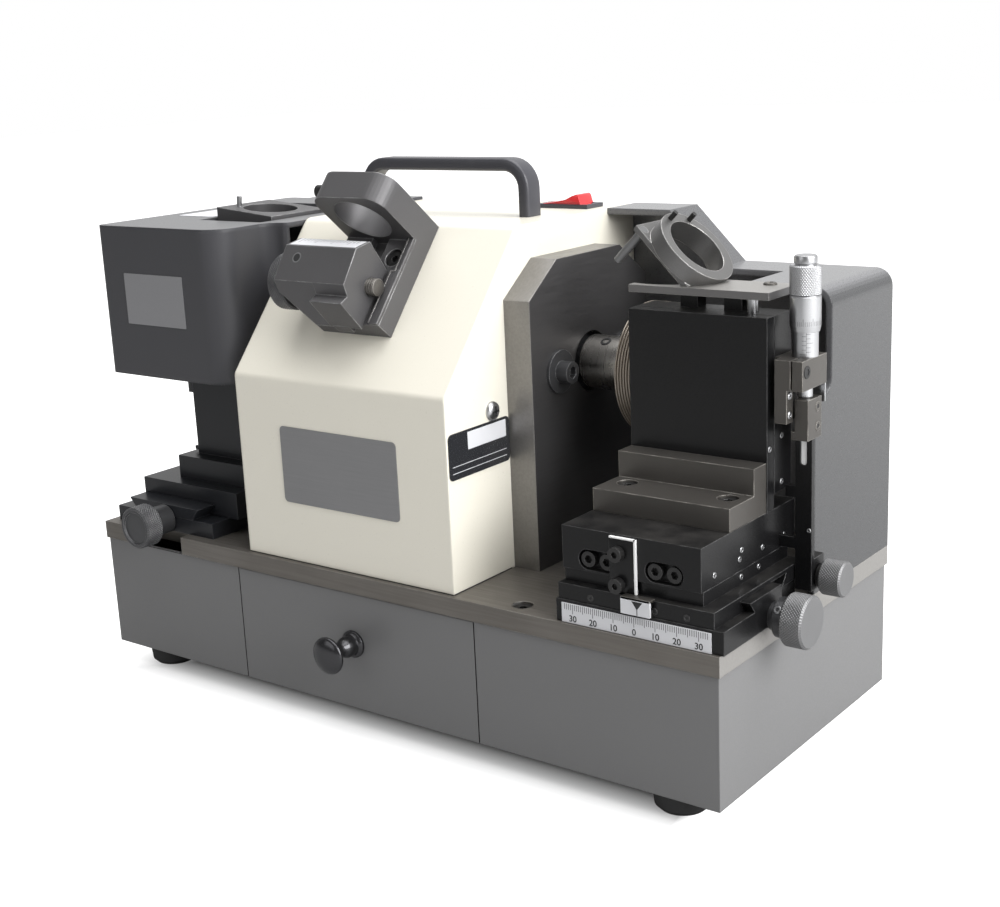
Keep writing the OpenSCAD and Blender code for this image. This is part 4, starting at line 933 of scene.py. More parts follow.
class Finishes:
    """The finishes: name, two colours, metallic, rough, grain, bump, edge and wear, then what is special."""

    COVER = Finish("cover_paint", (0.80, 0.77, 0.675), (0.76, 0.73, 0.635), 0.0, 0.32, 0.9, 0.006, 1.4, 0.0,
                   coat=0.2, vary=0.3)
    BOX = Finish("box_paint", (0.165, 0.165, 0.167), (0.15, 0.15, 0.151), 0.0, 0.42, 0.5, 0.01, 0.8, 0.15,
                 (0.26, 0.26, 0.26), coat=0.05, vary=0.4)
    # Painted shade: the hood's right faces get a darker colour.
    HOOD = Finish("hood_paint", (0.13, 0.131, 0.137), (0.12, 0.121, 0.127), 0.0, 0.3, 0.5, 0.002, 1.4, 0.1,
                  (0.16, 0.16, 0.17), coat=0.25, vary=0.4, specular=0.45, flank=(0.034, 0.035, 0.037),
                  flank_share=(0.0, 0.95, 0.0))
    # Painted light: the left hood's top faces get a lighter colour.
    COWL = Finish("cowl_plastic", (0.056, 0.056, 0.062), (0.05, 0.05, 0.055), 0.0, 0.4, 0.4, 0.01, 3.2, 0.0,
                  vary=0.35, specular=0.4, flank=(0.15, 0.151, 0.156), flank_share=(0.0, 0.0, 0.95))
    # Painted light: the plate's right faces get a lighter colour.
    PLATE = Finish("plate_ground", (0.195, 0.182, 0.166), (0.135, 0.124, 0.11), 0.72, 0.44, 0.35, 0.006, 0.6, 0.6,
                   (0.5, 0.48, 0.45), rough_var=0.16, lines=(30, 900, 900), dust=0.1, vary=0.8,
                   flank=(0.365, 0.355, 0.342))
    STEEL = Finish("steel_blasted", (0.112, 0.11, 0.114), (0.08, 0.078, 0.08), 0.5, 0.46, 0.3, 0.01, 0.8, 1.0,
                   (0.42, 0.42, 0.42), rough_var=0.12, vary=0.7)
    # Painted shade: the top plate's front and right faces get a darker colour.
    BRIGHT = Finish("steel_ground", (0.36, 0.35, 0.335), (0.28, 0.27, 0.258), 0.75, 0.4, 0.3, 0.008, 0.4, 0.6,
                    (0.66, 0.64, 0.61), rough_var=0.14, vary=0.7, flank=(0.13, 0.128, 0.13),
                    flank_share=(0.8, 0.95, 0.0))
    RING_STEEL = Finish("ring_steel", (0.2, 0.198, 0.196), (0.13, 0.128, 0.126), 0.75, 0.38, 0.3, 0.01, 0.7, 1.0,
                        (0.62, 0.61, 0.59), rough_var=0.16, vary=0.9)
    BURNISHED = Finish("steel_burnished", (0.1, 0.094, 0.086), (0.068, 0.063, 0.058), 0.55, 0.4, 0.25, 0.008, 0.7,
                       1.0, (0.38, 0.36, 0.33), rough_var=0.14, vary=0.9)
    # Painted shade: the end plates' right faces get a darker colour.
    END = Finish("end_plate_steel", (0.24, 0.232, 0.224), (0.17, 0.163, 0.155), 0.7, 0.4, 0.4, 0.008, 0.6, 0.4,
                 (0.42, 0.4, 0.38), rough_var=0.14, lines=(900, 60, 900), vary=0.8, flank=(0.1, 0.098, 0.1),
                 flank_share=(0.0, 0.95, 0.0))
    ANODISED = Finish("black_anodised", (0.0055, 0.0055, 0.006), (0.009, 0.009, 0.0095), 0.1, 0.3, 0.25, 0.004,
                      0.6, 1.0, (0.11, 0.11, 0.112), dust=0.06, specular=0.3)
    LEFT_BLACK = Finish("black_enamel", (0.014, 0.015, 0.018), (0.02, 0.021, 0.024), 0.0, 0.34, 0.3, 0.006, 0.5,
                        0.7, (0.1, 0.105, 0.11), specular=0.35)
    BLACKED = Finish("black_oxide", (0.03, 0.03, 0.031), (0.05, 0.048, 0.046), 0.6, 0.36, 0.3, 0.006, 0.2, 0.5,
                     (0.3, 0.3, 0.3))
    CHROME = Finish("satin_chrome", (0.47, 0.475, 0.485), (0.39, 0.39, 0.4), 1.0, 0.32, 0.3, 0.003, 0.2, 0.3,
                    (0.65, 0.65, 0.65), vary=0.5)
    DARK_CHROME = Finish("dark_chrome", (0.075, 0.075, 0.079), (0.055, 0.055, 0.058), 0.9, 0.22, 0.5, 0.002, 0.3,
                         0.0, rough_var=0.06, vary=0.4)
    KNOB = Finish("knob_steel", (0.085, 0.086, 0.09), (0.06, 0.06, 0.063), 0.6, 0.4, 0.3, 0.006, 0.3, 1.0,
                  (0.46, 0.46, 0.47))
    TURNED = Finish("turned_steel", (0.21, 0.211, 0.215), (0.14, 0.14, 0.143), 0.65, 0.4, 0.25, 0.006, 0.25, 0.6,
                    rough_var=0.12)
    COLLAR = Finish("brushed_collar", (0.42, 0.405, 0.38), (0.3, 0.29, 0.275), 1.0, 0.3, 0.3, 0.004, 0.4, 0.3,
                    (0.7, 0.68, 0.65), rough_var=0.12, lines=(900, 40, 40), vary=0.8)
    # White for painted highlights.
    WHITE = Finish("painted_highlight_white", (0.85, 0.85, 0.85), (0.8, 0.8, 0.8), 0.0, 0.4, 0.5, 0.002, 0.2, 0.0, vary=0.3)
    RUBBER = Finish("foot_rubber", (0.02, 0.02, 0.021), (0.03, 0.03, 0.03), 0.0, 0.75, 0.5, 0.02, 0.6, 0.0)
    BLACK = Finish("black_plastic", (0.042, 0.042, 0.05), (0.05, 0.05, 0.058), 0.0, 0.34, 0.4, 0.006, 0.8, 0.0)
    RED = Finish("red_plastic", (0.66, 0.03, 0.035), (0.55, 0.02, 0.025), 0.0, 0.22, 0.6, 0.002, 0.4, 0.0, coat=0.25)
    COPPER = Finish("copper_winding", (0.55, 0.22, 0.1), (0.4, 0.15, 0.07), 1.0, 0.4, 0.4, 0.02, 0.5, 0.4)
    ABRASIVE = Finish("abrasive_grit", (0.42, 0.37, 0.315), (0.24, 0.21, 0.178), 0.7, 0.4, 0.18, 0.03, 0.15, 0.6,
                      (0.7, 0.64, 0.56), rough_var=0.2, vary=1.0)
    PAPER = Finish("scale_white", (0.66, 0.665, 0.69), (0.6, 0.605, 0.625), 0.0, 0.5, 0.6, 0.002, 0.1, 0.0, vary=0.3)
    INK = Finish("scale_ink", (0.012, 0.012, 0.013), (0.02, 0.02, 0.02), 0.0, 0.6, 0.4, 0.001, 0.05, 0.0)
    SILVER = Finish("silver_plate", (0.25, 0.25, 0.255), (0.21, 0.21, 0.215), 0.4, 0.42, 0.3, 0.003, 0.15, 0.1,
                    lines=(40, 1800, 1800))
    LABEL = Finish("grey_label", (0.27, 0.27, 0.28), (0.23, 0.23, 0.24), 0.25, 0.42, 0.4, 0.002, 0.15, 0.0, vary=0.4)
    GLOSS = Finish("black_label", (0.022, 0.023, 0.026), (0.028, 0.029, 0.032), 0.0, 0.24, 0.6, 0.001, 0.15, 0.0,
                   coat=0.15)


FINISH_NODES: dict[Finish, str] = {
    Finishes.COVER: "motor_cover",
    Finishes.BOX: "base_box drawer_tray motor_housing",
    Finishes.PLATE: "base_plate drawer_runners",
    Finishes.RUBBER: "rubber_feet",
    Finishes.CHROME: "mic_thimble mic_sleeve cover_screws stop_pin",
    Finishes.KNOB: "left_knob gauge_knob drawer_knob motor_rotor motor_bearings motor_bolts",
    Finishes.TURNED: "x_knob lock_knob ring_pin",
    Finishes.COLLAR: "wheel_collars",
    Finishes.BLACK: "carry_handle switch_bezel power_inlet x_bearing",
    Finishes.RED: "switch_rocker",
    Finishes.COPPER: "motor_stator",
    Finishes.STEEL: "gauge_bracket gauge_carriage port_plate",
    Finishes.BRIGHT: "top_plate",
    Finishes.RING_STEEL: "ring_holder",
    Finishes.BURNISHED: "angle_bracket anvil_block mic_holder pointer_bracket",
    Finishes.END: "right_end_plate left_end_plate",
    Finishes.ABRASIVE: "right_wheel left_wheel",
    Finishes.BLACKED: "base_screws stage_screws wheel_screws ring_screws",
    Finishes.HOOD: "right_hood",
    Finishes.COWL: "left_hood",
    Finishes.LEFT_BLACK: "left_base left_slide left_column",
    Finishes.ANODISED: "x_base x_saddle y_guide y_block upright_plate lift_carriage plate_risers stop_bar",
    Finishes.PAPER: "scale_strip",
}
NODE_FINISH = {node: finish for finish, nodes in FINISH_NODES.items() for node in nodes.split()}


class SubAssembly:
    """A group of pieces that are built, dressed and logged together."""

    title = "sub-assembly"

    def dress(self, obj: Piece, finish: Finish, body: Body, slot: str, *replaced: str) -> None:
        """Gives a new piece its finish and puts it on a body.

        Args:
            obj: The piece.
            finish: Its finish.
            body: The body it rides on.
            slot: The record's material slot; not used.
            *replaced: CAD nodes that it stands for.
        """
        self.paint(obj, finish)
        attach(obj, body.value)
        if replaced:
            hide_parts(*replaced)

    def paint(self, obj: Piece, finish: Finish) -> None:
        """Gives a piece its finish and logs it.

        Args:
            obj: The piece.
            finish: Its finish.
        """
        obj.data.materials.clear()
        obj.data.materials.append(finish.material())
        LOG.info("%s: %s in %s", self.title, obj.name, finish.name)

    def plate(self, name: str, pose: Pose, size: PlateSize, finish: Finish, body: Body) -> None:
        """A thin plate with rounded corners on a face.

        Args:
            name: Object name.
            pose: Frame of the face.
            size: Sizes of the plate in that frame.
            finish: Its finish.
            body: The body it rides on.
        """
        outline = rounded(rectangle(size.x0, size.x1, size.y0, size.y1), size.corner)
        self.dress(MeshKit.prism(name, outline, size.thick, 0.0, pose), finish, body, "scale")

    def screws(self, name: str, poses: Sequence[Pose], size: ScrewSize, finish: Finish, body: Body, slot: str) -> None:
        """Small socket screws in one piece, with dark discs that paint the shade in their sockets in another.

        Args:
            name: Object name.
            poses: Frame of each screw, local +Z out of the face.
            size: Sizes of one screw.
            finish: Finish of the heads.
            body: The body they ride on.
            slot: The record's material slot.
        """
        heads = [MeshKit.socket_screw(f"{name}_{i}", p, size) for i, p in enumerate(poses)]
        self.dress(joined(name, heads), finish, body, slot)
        # Painted shade: a dark disc on the floor of each hexagon socket.
        floor = size.head_h - size.deep + 0.03
        disc = [(0, floor), (size.hex_r * 0.8, floor)]
        discs = [MeshKit.turned(f"{name}_s{i}", disc, p, 18) for i, p in enumerate(poses)]
        self.dress(joined(name + "_socket_shade", discs), Finishes.INK, body, slot)

    def build(self) -> None:
        """Makes the pieces of the group."""
        raise NotImplementedError


class CadPieces(SubAssembly):
    """The pieces that come from the frame as they are."""

    title = "frame"

    def build(self) -> None:
        """Gives every CAD node its finish."""
        for name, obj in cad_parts.items():
            self.paint(obj, NODE_FINISH[name])


class Drawer(SubAssembly):
    """The drawer's knob, and dark strips that paint the shade in the drawer's gaps and under the plate's edge."""

    title = "drawer"
    front = (-85.5, 61.5)
    at = (-11.0, 1.0, -34.5)
    profile = [(0, -4), (3, -4), (3, 0), (6.5, 0), (6.7, 0.5), (6.6, 1.3), (6.0, 2.0), (5.2, 2.4), (4.9, 3.2),
               (5.1, 4.6), (5.0, 6.2), (4.4, 7.8), (3.6, 9.4), (3.2, 11.0), (3.4, 12.6), (4.4, 14.0), (6.2, 15.2),
               (7.9, 16.2), (8.8, 17.0), (9.0, 17.7), (8.8, 18.4), (8.0, 19.1), (6.5, 19.8), (4.5, 20.4),
               (2.2, 20.8), (0, 20.9)]

    def build(self) -> None:
        """Makes the mushroom knob and the strips of painted shade."""
        knob = MeshKit.turned("drawer_pull", self.profile, Pose.along(self.at, Axis.FRONT), 72)
        self.dress(knob, Finishes.DARK_CHROME, Body.DRAWER, "knob_steel", "drawer_knob")
        left, right = self.front
        # Painted shade: dark strips on the drawer's right side and top edge make its gaps look dark.
        own = [((right, 1.03, -67.4), (right + 0.08, 2.4, -9.7)), ((left, 1.03, -9.6), (right, 2.4, -9.52))]
        self.dress(MeshKit.boxes("drawer_gap_shade", own), Finishes.INK, Body.DRAWER, "black_steel")
        # Painted shade: a dark strip on the box's edge left of the drawer, and dark lines under the plate's overhang
        # on the front and right.
        box = [((left - 0.6, 1.03, -67.4), (left - 0.52, 2.4, -9.1)),
               ((-183.9, 0.94, -9.5), (left - 0.6, 1.02, -9.02)),
               ((right + 0.6, 0.94, -9.5), (183.9, 1.02, -9.02)),
               ((183.98, 1.1, -9.5), (184.06, 158.9, -9.02))]
        self.dress(MeshKit.boxes("plate_seam_shade", box), Finishes.INK, Body.BASE, "black_steel")


class Cover(SubAssembly):
    """Bare plates and screws on the motor cover."""

    title = "cover"
    front = 2.7
    right = 50.3
    left = -78.0
    name_plate = PlateSize(-50.3, 21.5, 29.5, 66.5, 2.2, 0.4)
    side_plate = PlateSize(4.0, 47.8, 51.8, 72.6, 2.4, 0.35)
    field = PlateSize(17.5, 45.3, 63.5, 71.4, 0.4, 0.05)
    screw_at = (36.0, 77.0)
    dome = [(0, -6), (2, -6), (2, 0), (4.4, 0), (4.35, 0.7), (4.0, 1.4), (3.2, 2.0), (2.0, 2.35), (0.9, 2.45),
            (0, 2.46)]

    def build(self) -> None:
        """Makes the plates and the pan-head screws."""
        self.plate("name_plate", on_front(0, self.front, 0), self.name_plate, Finishes.SILVER, Body.BASE)
        self.plate("side_plate", on_right(self.right, 0, 0), self.side_plate, Finishes.GLOSS, Body.BASE)
        face = on_right(self.right + self.side_plate.thick, 0, 0)
        self.plate("side_plate_field", face, self.field, Finishes.PAPER, Body.BASE)
        rules = [((6.2, z, 0), (45.3, z + 0.28, 0.04)) for z in (57.6, 54.6)]
        self.dress(MeshKit.boxes("side_plate_rules", rules, pose=face), Finishes.PAPER, Body.BASE, "scale")
        # Painted shade: thin dark strips along the cover's foot on the front and right, where it meets the plate.
        foot = [((-77.9, 2.63, 0.02), (50.2, 2.72, 0.42)), ((50.28, 2.8, 0.02), (50.37, 46.0, 0.42))]
        self.dress(MeshKit.boxes("cover_foot_shade", foot), Finishes.INK, Body.BASE, "black_steel")
        heads, cross = [], []
        y, z = self.screw_at
        for sign, x, axis in ((1, self.right, Axis.X), (-1, self.left, Axis.LEFT)):
            heads.append(MeshKit.turned(f"pan_{sign}", self.dome, Pose.along((x, y, z), axis), 40))
            # Painted shade: a dark raised cross on each dome stands in for the shaded cross recess.
            lo, hi = sorted((x + sign * 1.2, x + sign * 2.62))
            for wide, high in ((2.3, 0.5), (0.5, 2.3)):
                cross.append(((lo, y - wide, z - high), (hi, y + wide, z + high)))
        self.dress(joined("cover_pan_screws", heads), Finishes.CHROME, Body.BASE, "chrome", "cover_screws")
        self.dress(MeshKit.boxes("cover_screw_cross_shade", cross), Finishes.INK, Body.BASE, "chrome")


class Carrying(SubAssembly):
    """Handle and switch on top of the cover."""

    title = "carrying"
    middle = -15.85
    half = 48.5
    depth = 95
    low = 156.5
    straight = 5
    crown = 180.5
    bend = 11.0
    bend_steps = 8
    rocker_at = (28.3, 139.7, 156.5)
    rocker_width = 11.4
    wedge = [(-11.9, 0), (11.9, 0), (11.9, 1.2), (9.9, 1.6), (9.3, 5.6), (8.6, 6.5), (7.6, 6.7), (5.0, 5.8),
             (1.5, 4.2), (-3, 2.8), (-11.9, 2.2)]

    def build(self) -> None:
        """Makes the strap handle and the rocker."""
        x0, x1 = self.middle - self.half, self.middle + self.half
        foot = self.low + self.straight
        path = [(x0, self.depth, self.low), (x0, self.depth, foot)]
        for mid, start in ((x0 + self.bend, math.pi), (x1 - self.bend, math.pi / 2)):
            for k in range(self.bend_steps + 1):
                a = start - math.pi / 2 * k / self.bend_steps
                z = self.crown - self.bend + self.bend * math.sin(a)
                path.append((mid + self.bend * math.cos(a), self.depth, z))
        path += [(x1, self.depth, foot), (x1, self.depth, self.low)]
        strap = MeshKit.swept("handle_strap", path, (0, 1, 0), rounded(rectangle(-5.5, 5.5, -3, 3), 1.6, 4))
        self.dress(strap, Finishes.BLACK, Body.BASE, "black_plastic", "carry_handle")
        cap = MeshKit.prism("rocker_cap", self.wedge, self.rocker_width, 0.35, on_front(*self.rocker_at))
        self.dress(cap, Finishes.RED, Body.ROCKER, "red_plastic", "switch_rocker")


class Spindle(SubAssembly):
    """Ribbed wheel and collar screws on the spindle."""

    title = "spindle"
    axis = (96.0, 90.0)
    wheel_x = 96.2
    wheel_t = 8.5
    wheel_r = 30.0
    face_r = 29.2
    bore_r = 3.1
    ribs = 6
    collar_x = 76.5
    collar_r = 12.2

    def build(self) -> None:
        """Makes the wheel and the collar's screws."""
        rim = [(self.bore_r, 0), (self.face_r, 0)]
        pitch, crest, root = self.wheel_t / self.ribs, self.wheel_r - 0.1, self.wheel_r - 0.9
        for k in range(self.ribs):
            h = pitch * k
            rim += [(crest, h + 0.08), (self.wheel_r, h + pitch * 0.25), (crest, h + pitch * 0.5),
                    (root, h + pitch * 0.62), (root, h + pitch * 0.9)]
        rim += [(self.face_r, self.wheel_t), (self.bore_r, self.wheel_t), (self.bore_r, 0)]
        wheel = MeshKit.turned("ribbed_wheel", rim, Pose.along((self.wheel_x, *self.axis), Axis.X), 128)
        self.dress(wheel, Finishes.ABRASIVE, Body.SPINDLE, "abrasive", "right_wheel")
        outs = [Vector((0, math.cos(a), math.sin(a))) for a in (math.radians(118), math.radians(238))]
        poses = [Pose.along(Vector((self.collar_x, *self.axis)) + out * self.collar_r, out) for out in outs]
        size = ScrewSize(2.6, 0.45, 1.6, 0.4)
        self.screws("collar_set_screws", poses, size, Finishes.INK, Body.SPINDLE, "black_steel")


class LeftHead(SubAssembly):
    """Bare labels on the left hood and the left stage's knob."""

    title = "left head"
    label = PlateSize(-160.5, -117.5, 106.3, 132.0, 0.4, 0.25)
    patch = PlateSize(-168.0, -142.0, 56.0, 92.0, 0.4, 0.2)
    knob = KnobSize(10.8, 10.0, 52, 6, 0.4, 0.8, 1.0)
    knob_at = (-142.5, -5, 6.3)
    stops = [((-149.6, 35.2, 66.4), (-144.8, 41, 84)), ((-149.6, 36, 35.2), (-144.8, 38.2, 37.4))]
    hub = [(0, -10.4), (7.5, -10.4), (7.5, 0.5), (6.9, 0.8), (0, 0.8)]

    def build(self) -> None:
        """Makes the labels, the knob and the small pieces by the column."""
        self.plate("hood_label", on_front(0, 10, 0), self.label, Finishes.LABEL, Body.BASE)
        self.plate("hood_patch", on_top(0, 0, 155.5), self.patch, Finishes.PAPER, Body.BASE)
        pose = Pose.along(self.knob_at, Axis.FRONT)
        knob = MeshKit.knurled("left_feed_knob", pose, self.knob)
        self.dress(knob, Finishes.KNOB, Body.LEFT_FEED, "knob_steel", "left_knob")
        stops = MeshKit.boxes("column_stops", self.stops, 0.3)
        self.dress(stops, Finishes.LEFT_BLACK, Body.LEFT, "black_steel")
        hub = MeshKit.turned("left_feed_hub", self.hub, pose, 56)
        self.dress(hub, Finishes.KNOB, Body.LEFT_FEED, "knob_steel")


class Gauge(SubAssembly):
    """Knob, stud, strip and rim of the setting gauge."""

    title = "gauge"
    knob = KnobSize(13.3, 8.7, 64, 5, 0.4, 0.8, 0.9)
    knob_x = -44.6
    stud_x = -44.4
    screw = (43.0, 16.5)
    thread_from = 32
    thread_turns = 12
    thread_pitch = 1.35
    strip = PlateSize(1.5, 41.5, 0.6, 9.0, 0.2, 0.2)
    rim = [((2.2, 27, 10.4), (7.5, 55, 12.2)), ((4.4, 54, 10.4), (7.5, 72.2, 12.2))]
    rim_edge = [((2.0, 27.4, 11.7), (2.7, 54.2, 12.3)), ((4.2, 54.2, 11.7), (4.9, 72.0, 12.3)),
                ((2.0, 54.0, 11.7), (4.9, 54.6, 12.3))]
    bolt = [(0, -1), (3, -1), (3, 3.0), (2.7, 3.3), (0, 3.3)]

    def build(self) -> None:
        """Makes the gauge's details."""
        u, d = self.screw
        knob = MeshKit.knurled("gauge_clamp_knob", Pose.along(SLOPE((self.knob_x, u, d)), Axis.LEFT), self.knob)
        self.dress(knob, Finishes.KNOB, Body.CLAMP, "knob_steel", "gauge_knob")
        profile = [(0, -8), (3.9, -8), (3.9, self.thread_from)]
        for k in range(self.thread_turns):
            h = self.thread_from + k * self.thread_pitch
            profile += [(4.0, h + 0.2), (4.0, h + 0.45), (3.3, h + 0.9), (4.0, h + 1.25)]
        profile += [(3.3, 48.4), (0, 48.4)]
        stud = MeshKit.turned("gauge_stud", profile, Pose.along(SLOPE((self.stud_x, u, d)), Axis.X), 40)
        self.dress(stud, Finishes.BURNISHED, Body.CLAMP, "knob_steel")
        bevel, top, thick = on_slope(-44, 52, 34, 38.66), self.strip.y1, self.strip.thick
        self.plate("gauge_strip", bevel, self.strip, Finishes.PAPER, Body.GAUGE)
        lines = [((4 + 2 * k, top - (3.2 if k % 5 else 5.0), thick), (4.22 + 2 * k, top, thick + 0.03))
                 for k in range(18)]
        self.dress(MeshKit.boxes("gauge_strip_lines", lines, pose=bevel), Finishes.INK, Body.GAUGE, "scale")
        face = on_slope(-34.7, 46, 33.35, -6.5)
        rim = MeshKit.turned("gauge_tapped_rim", [(1.9, 0.02), (2.1, 0.12), (2.6, 0.0)], face, 32)
        self.dress(rim, Finishes.TURNED, Body.GAUGE, "dark_steel")
        # Painted shade: a dark disc inside the tapped hole.
        hole = MeshKit.turned("gauge_hole_shade", [(0, 0.04), (2.0, 0.04)], face, 32)
        self.dress(hole, Finishes.INK, Body.GAUGE, "dark_steel")
        rim = MeshKit.boxes("gauge_rim", self.rim, 0.3, SLOPE)
        self.dress(rim, Finishes.STEEL, Body.BASE, "dark_steel")
        # Painted highlight: thin bright strips along the rim's top inner edges.
        edge = MeshKit.boxes("gauge_rim_highlight", self.rim_edge, pose=SLOPE)
        self.dress(edge, Finishes.BRIGHT, Body.BASE, "dark_steel")
        bolt = MeshKit.turned("gauge_lug_bolt", self.bolt, Pose.along(SLOPE((-34.2, 80, 36)), Axis.LEFT), 32)
        self.dress(bolt, Finishes.BLACKED, Body.BASE, "black_steel")


class RightStage(SubAssembly):
    """Scale, pointer, knobs and set screws of the right stage."""

    title = "right stage"
    zero = 145.2
    strip_y = 1.0
    strip_top = 8.7
    reach = 34
    feed_knob = KnobSize(11.25, 10.0, 56, 6, 0.38, 0.9)
    lock_knob = KnobSize(7.8, 10.0, 42, 6, 0.35, 0.8)
    feed_at = (193.5, 43.0, 3.6)
    hub_at = (186.2, 43.0, 3.6)
    hub = [(0, 0), (6, 0), (6, 2.9), (8.2, 2.9), (8.5, 3.2), (8.5, 6.7), (8.2, 7), (0, 7)]
    hub_screw_at = (191.1, 43, 3.6)
    lock_at = (192.3, 77.6, 11.2)
    neck = [(0, -10), (3, -10), (3, -2.2), (5, -2.2), (5, 0.2), (0, 0.2)]
    block_face = 174.7
    lift_face = 175.2
    pointer = ((132.7, 3.0, 17.3), (145.3, 4.4, 40.7))
    pointer_rims = [((132.9, 2.92, 40.1), (145.3, 4.3, 40.75)), ((144.6, 2.92, 17.4), (145.35, 4.3, 40.75))]
    pointer_foot = ((140.3, -1.0, 16.6), (154.1, 3.2, 17.6))
    pointer_face = PlateSize(140.3, 154.1, 10.4, 17.5, 0.2, 1.0)
    small = ScrewSize(1.35, 0.3, 0.75, 0.25)

    def scale(self) -> None:
        """Lines and numbers of the travel strip, and the pointer."""
        y, top = self.strip_y, self.strip_top - 0.2
        lines = []
        for k in range(-self.reach, self.reach + 1):
            long = 4.2 if k % 10 == 0 else 3.4 if k % 5 == 0 else 2.6
            x = self.zero + k
            lines.append(((x - 0.11, y - 0.04, top - long), (x + 0.11, y + 0.1, top)))
        self.dress(MeshKit.boxes("scale_lines", lines), Finishes.INK, Body.BASE, "scale")
        digits = [MeshKit.number(f"scale_n{k}", str(abs(k)), 2.8, on_front(self.zero + k, y - 0.03, 2.1))
                  for k in range(-30, 31, 10)]
        self.dress(joined("scale_numbers", digits), Finishes.INK, Body.BASE, "scale")
        bracket = MeshKit.boxes("pointer_body", [self.pointer], 0.25)
        self.dress(bracket, Finishes.ANODISED, Body.CROSS, "black_steel", "pointer_bracket")
        # Painted highlight: white strips along the pointer's top and right edges.
        self.dress(MeshKit.boxes("pointer_rims", self.pointer_rims), Finishes.WHITE, Body.CROSS, "chrome")
        foot = MeshKit.boxes("pointer_foot", [self.pointer_foot], 0.1)
        self.dress(foot, Finishes.BURNISHED, Body.CROSS, "black_steel")
        self.plate("pointer_face", on_front(0, 0, 0), self.pointer_face, Finishes.PAPER, Body.CROSS)
        face = on_front(0, -self.pointer_face.thick, 0)
        arrow = MeshKit.prism("pointer_arrow", [(145.5, 16.4), (148.1, 12.9), (150.7, 16.4)], 0.04, 0.0, face)
        stem = MeshKit.boxes("pointer_stem", [((147.93, 10.5, 0), (148.27, 13.2, 0.04))], pose=face)
        self.dress(joined("pointer_mark", [arrow, stem]), Finishes.INK, Body.CROSS, "scale")

    def knobs(self) -> None:
        """The feed knob and the lock knob."""
        knob = MeshKit.knurled("x_feed_knob", Pose.along(self.feed_at, Axis.X), self.feed_knob)
        self.dress(knob, Finishes.TURNED, Body.FEED, "knob_steel", "x_knob")
        hub = MeshKit.turned("x_feed_hub", self.hub, Pose.along(self.hub_at, Axis.X), 56)
        self.dress(hub, Finishes.KNOB, Body.BASE, "knob_steel", "x_bearing")
        pose = Pose.along(self.lock_at, Axis.X)
        lock = MeshKit.knurled("lock_hand_knob", pose, self.lock_knob)
        self.dress(lock, Finishes.TURNED, Body.LOCK, "knob_steel", "lock_knob")
        self.dress(MeshKit.turned("lock_neck", self.neck, pose, 48), Finishes.BLACKED, Body.LOCK, "knob_steel")

    def set_screws(self) -> None:
        """Set screws along the slides."""
        block = [(37.2, 31.6), (35.4, 28.1), (55.2, 27.6), (74.7, 27.6), (14.8, 27.5)]
        guide = [(36.7, 20.2), (51.8, 20.1)]
        out = Vector((0, -0.76, 0.65))
        hub = Pose.along(Vector(self.hub_screw_at) + out * 8.4, out)
        bright, black = (Finishes.CHROME, "chrome"), (Finishes.BLACKED, "black_steel")
        rows = (
            ("block_set_screws", [on_right(self.block_face, *p) for p in block], self.small, Body.CROSS, bright),
            ("guide_set_screws", [on_right(self.block_face, *p) for p in guide], self.small, Body.SADDLE, bright),
            ("saddle_set_screws", [on_front(x, 2, 12.6) for x in (123.7, 154.4, 169.3)],
             ScrewSize(1.5, 0.2, 0.9, 0.18), Body.SADDLE, black),
            ("upright_set_screws", [on_right(self.lift_face, 60.6, 68.4)], self.small, Body.CROSS, bright),
            ("lift_set_screws", [on_right(self.lift_face, 71.2, z) for z in (72.2, 52.3)], self.small, Body.LIFT,
             bright),
            ("bar_screw", [on_front(188.6, 70, 32.9)], ScrewSize(1.0, 0.5, 0.5, 0.2), Body.CROSS, bright),
            ("hub_set_screw", [hub], ScrewSize(1.7, 0.3, 0.95, 0.25), Body.BASE, bright),
        )
        for name, poses, size, body, (finish, slot) in rows:
            self.screws(name, poses, size, finish, body, slot)

    def build(self) -> None:
        """Makes the stage's details."""
        self.scale()
        self.knobs()
        self.set_screws()
        # Painted highlight: a white piece in the bar's slot paints the bright glint seen there.
        key = rounded(rectangle(184.7, 187.3, 60.9, 72.0), [1.25, 1.25, 0, 0])
        piece = MeshKit.prism("bar_slot_glint", key, 1.6, 0.0, on_front(0, 72.0, 0))
        self.dress(piece, Finishes.WHITE, Body.CROSS, "chrome")


class TopTable(SubAssembly):
    """Screws and bright post of the plate under the tilted ring."""

    title = "top table"
    screw = ScrewSize(2.9, 0.9, 1.4, 0.7, 0.5)

    def build(self) -> None:
        """Makes the button-head screws and the post."""
        poses = [on_top(x, y, 133.5) for x, y in ((122.1, 82.0), (165.2, 80.6))]
        self.screws("table_screws", poses, self.screw, Finishes.BURNISHED, Body.LIFT, "steel")
        post = MeshKit.turned("table_post", [(2.53, 123.5), (2.53, 130.3)], Pose.along((161.2, 72.6, 0), Axis.Z), 40)
        self.dress(post, Finishes.CHROME, Body.LIFT, "chrome")


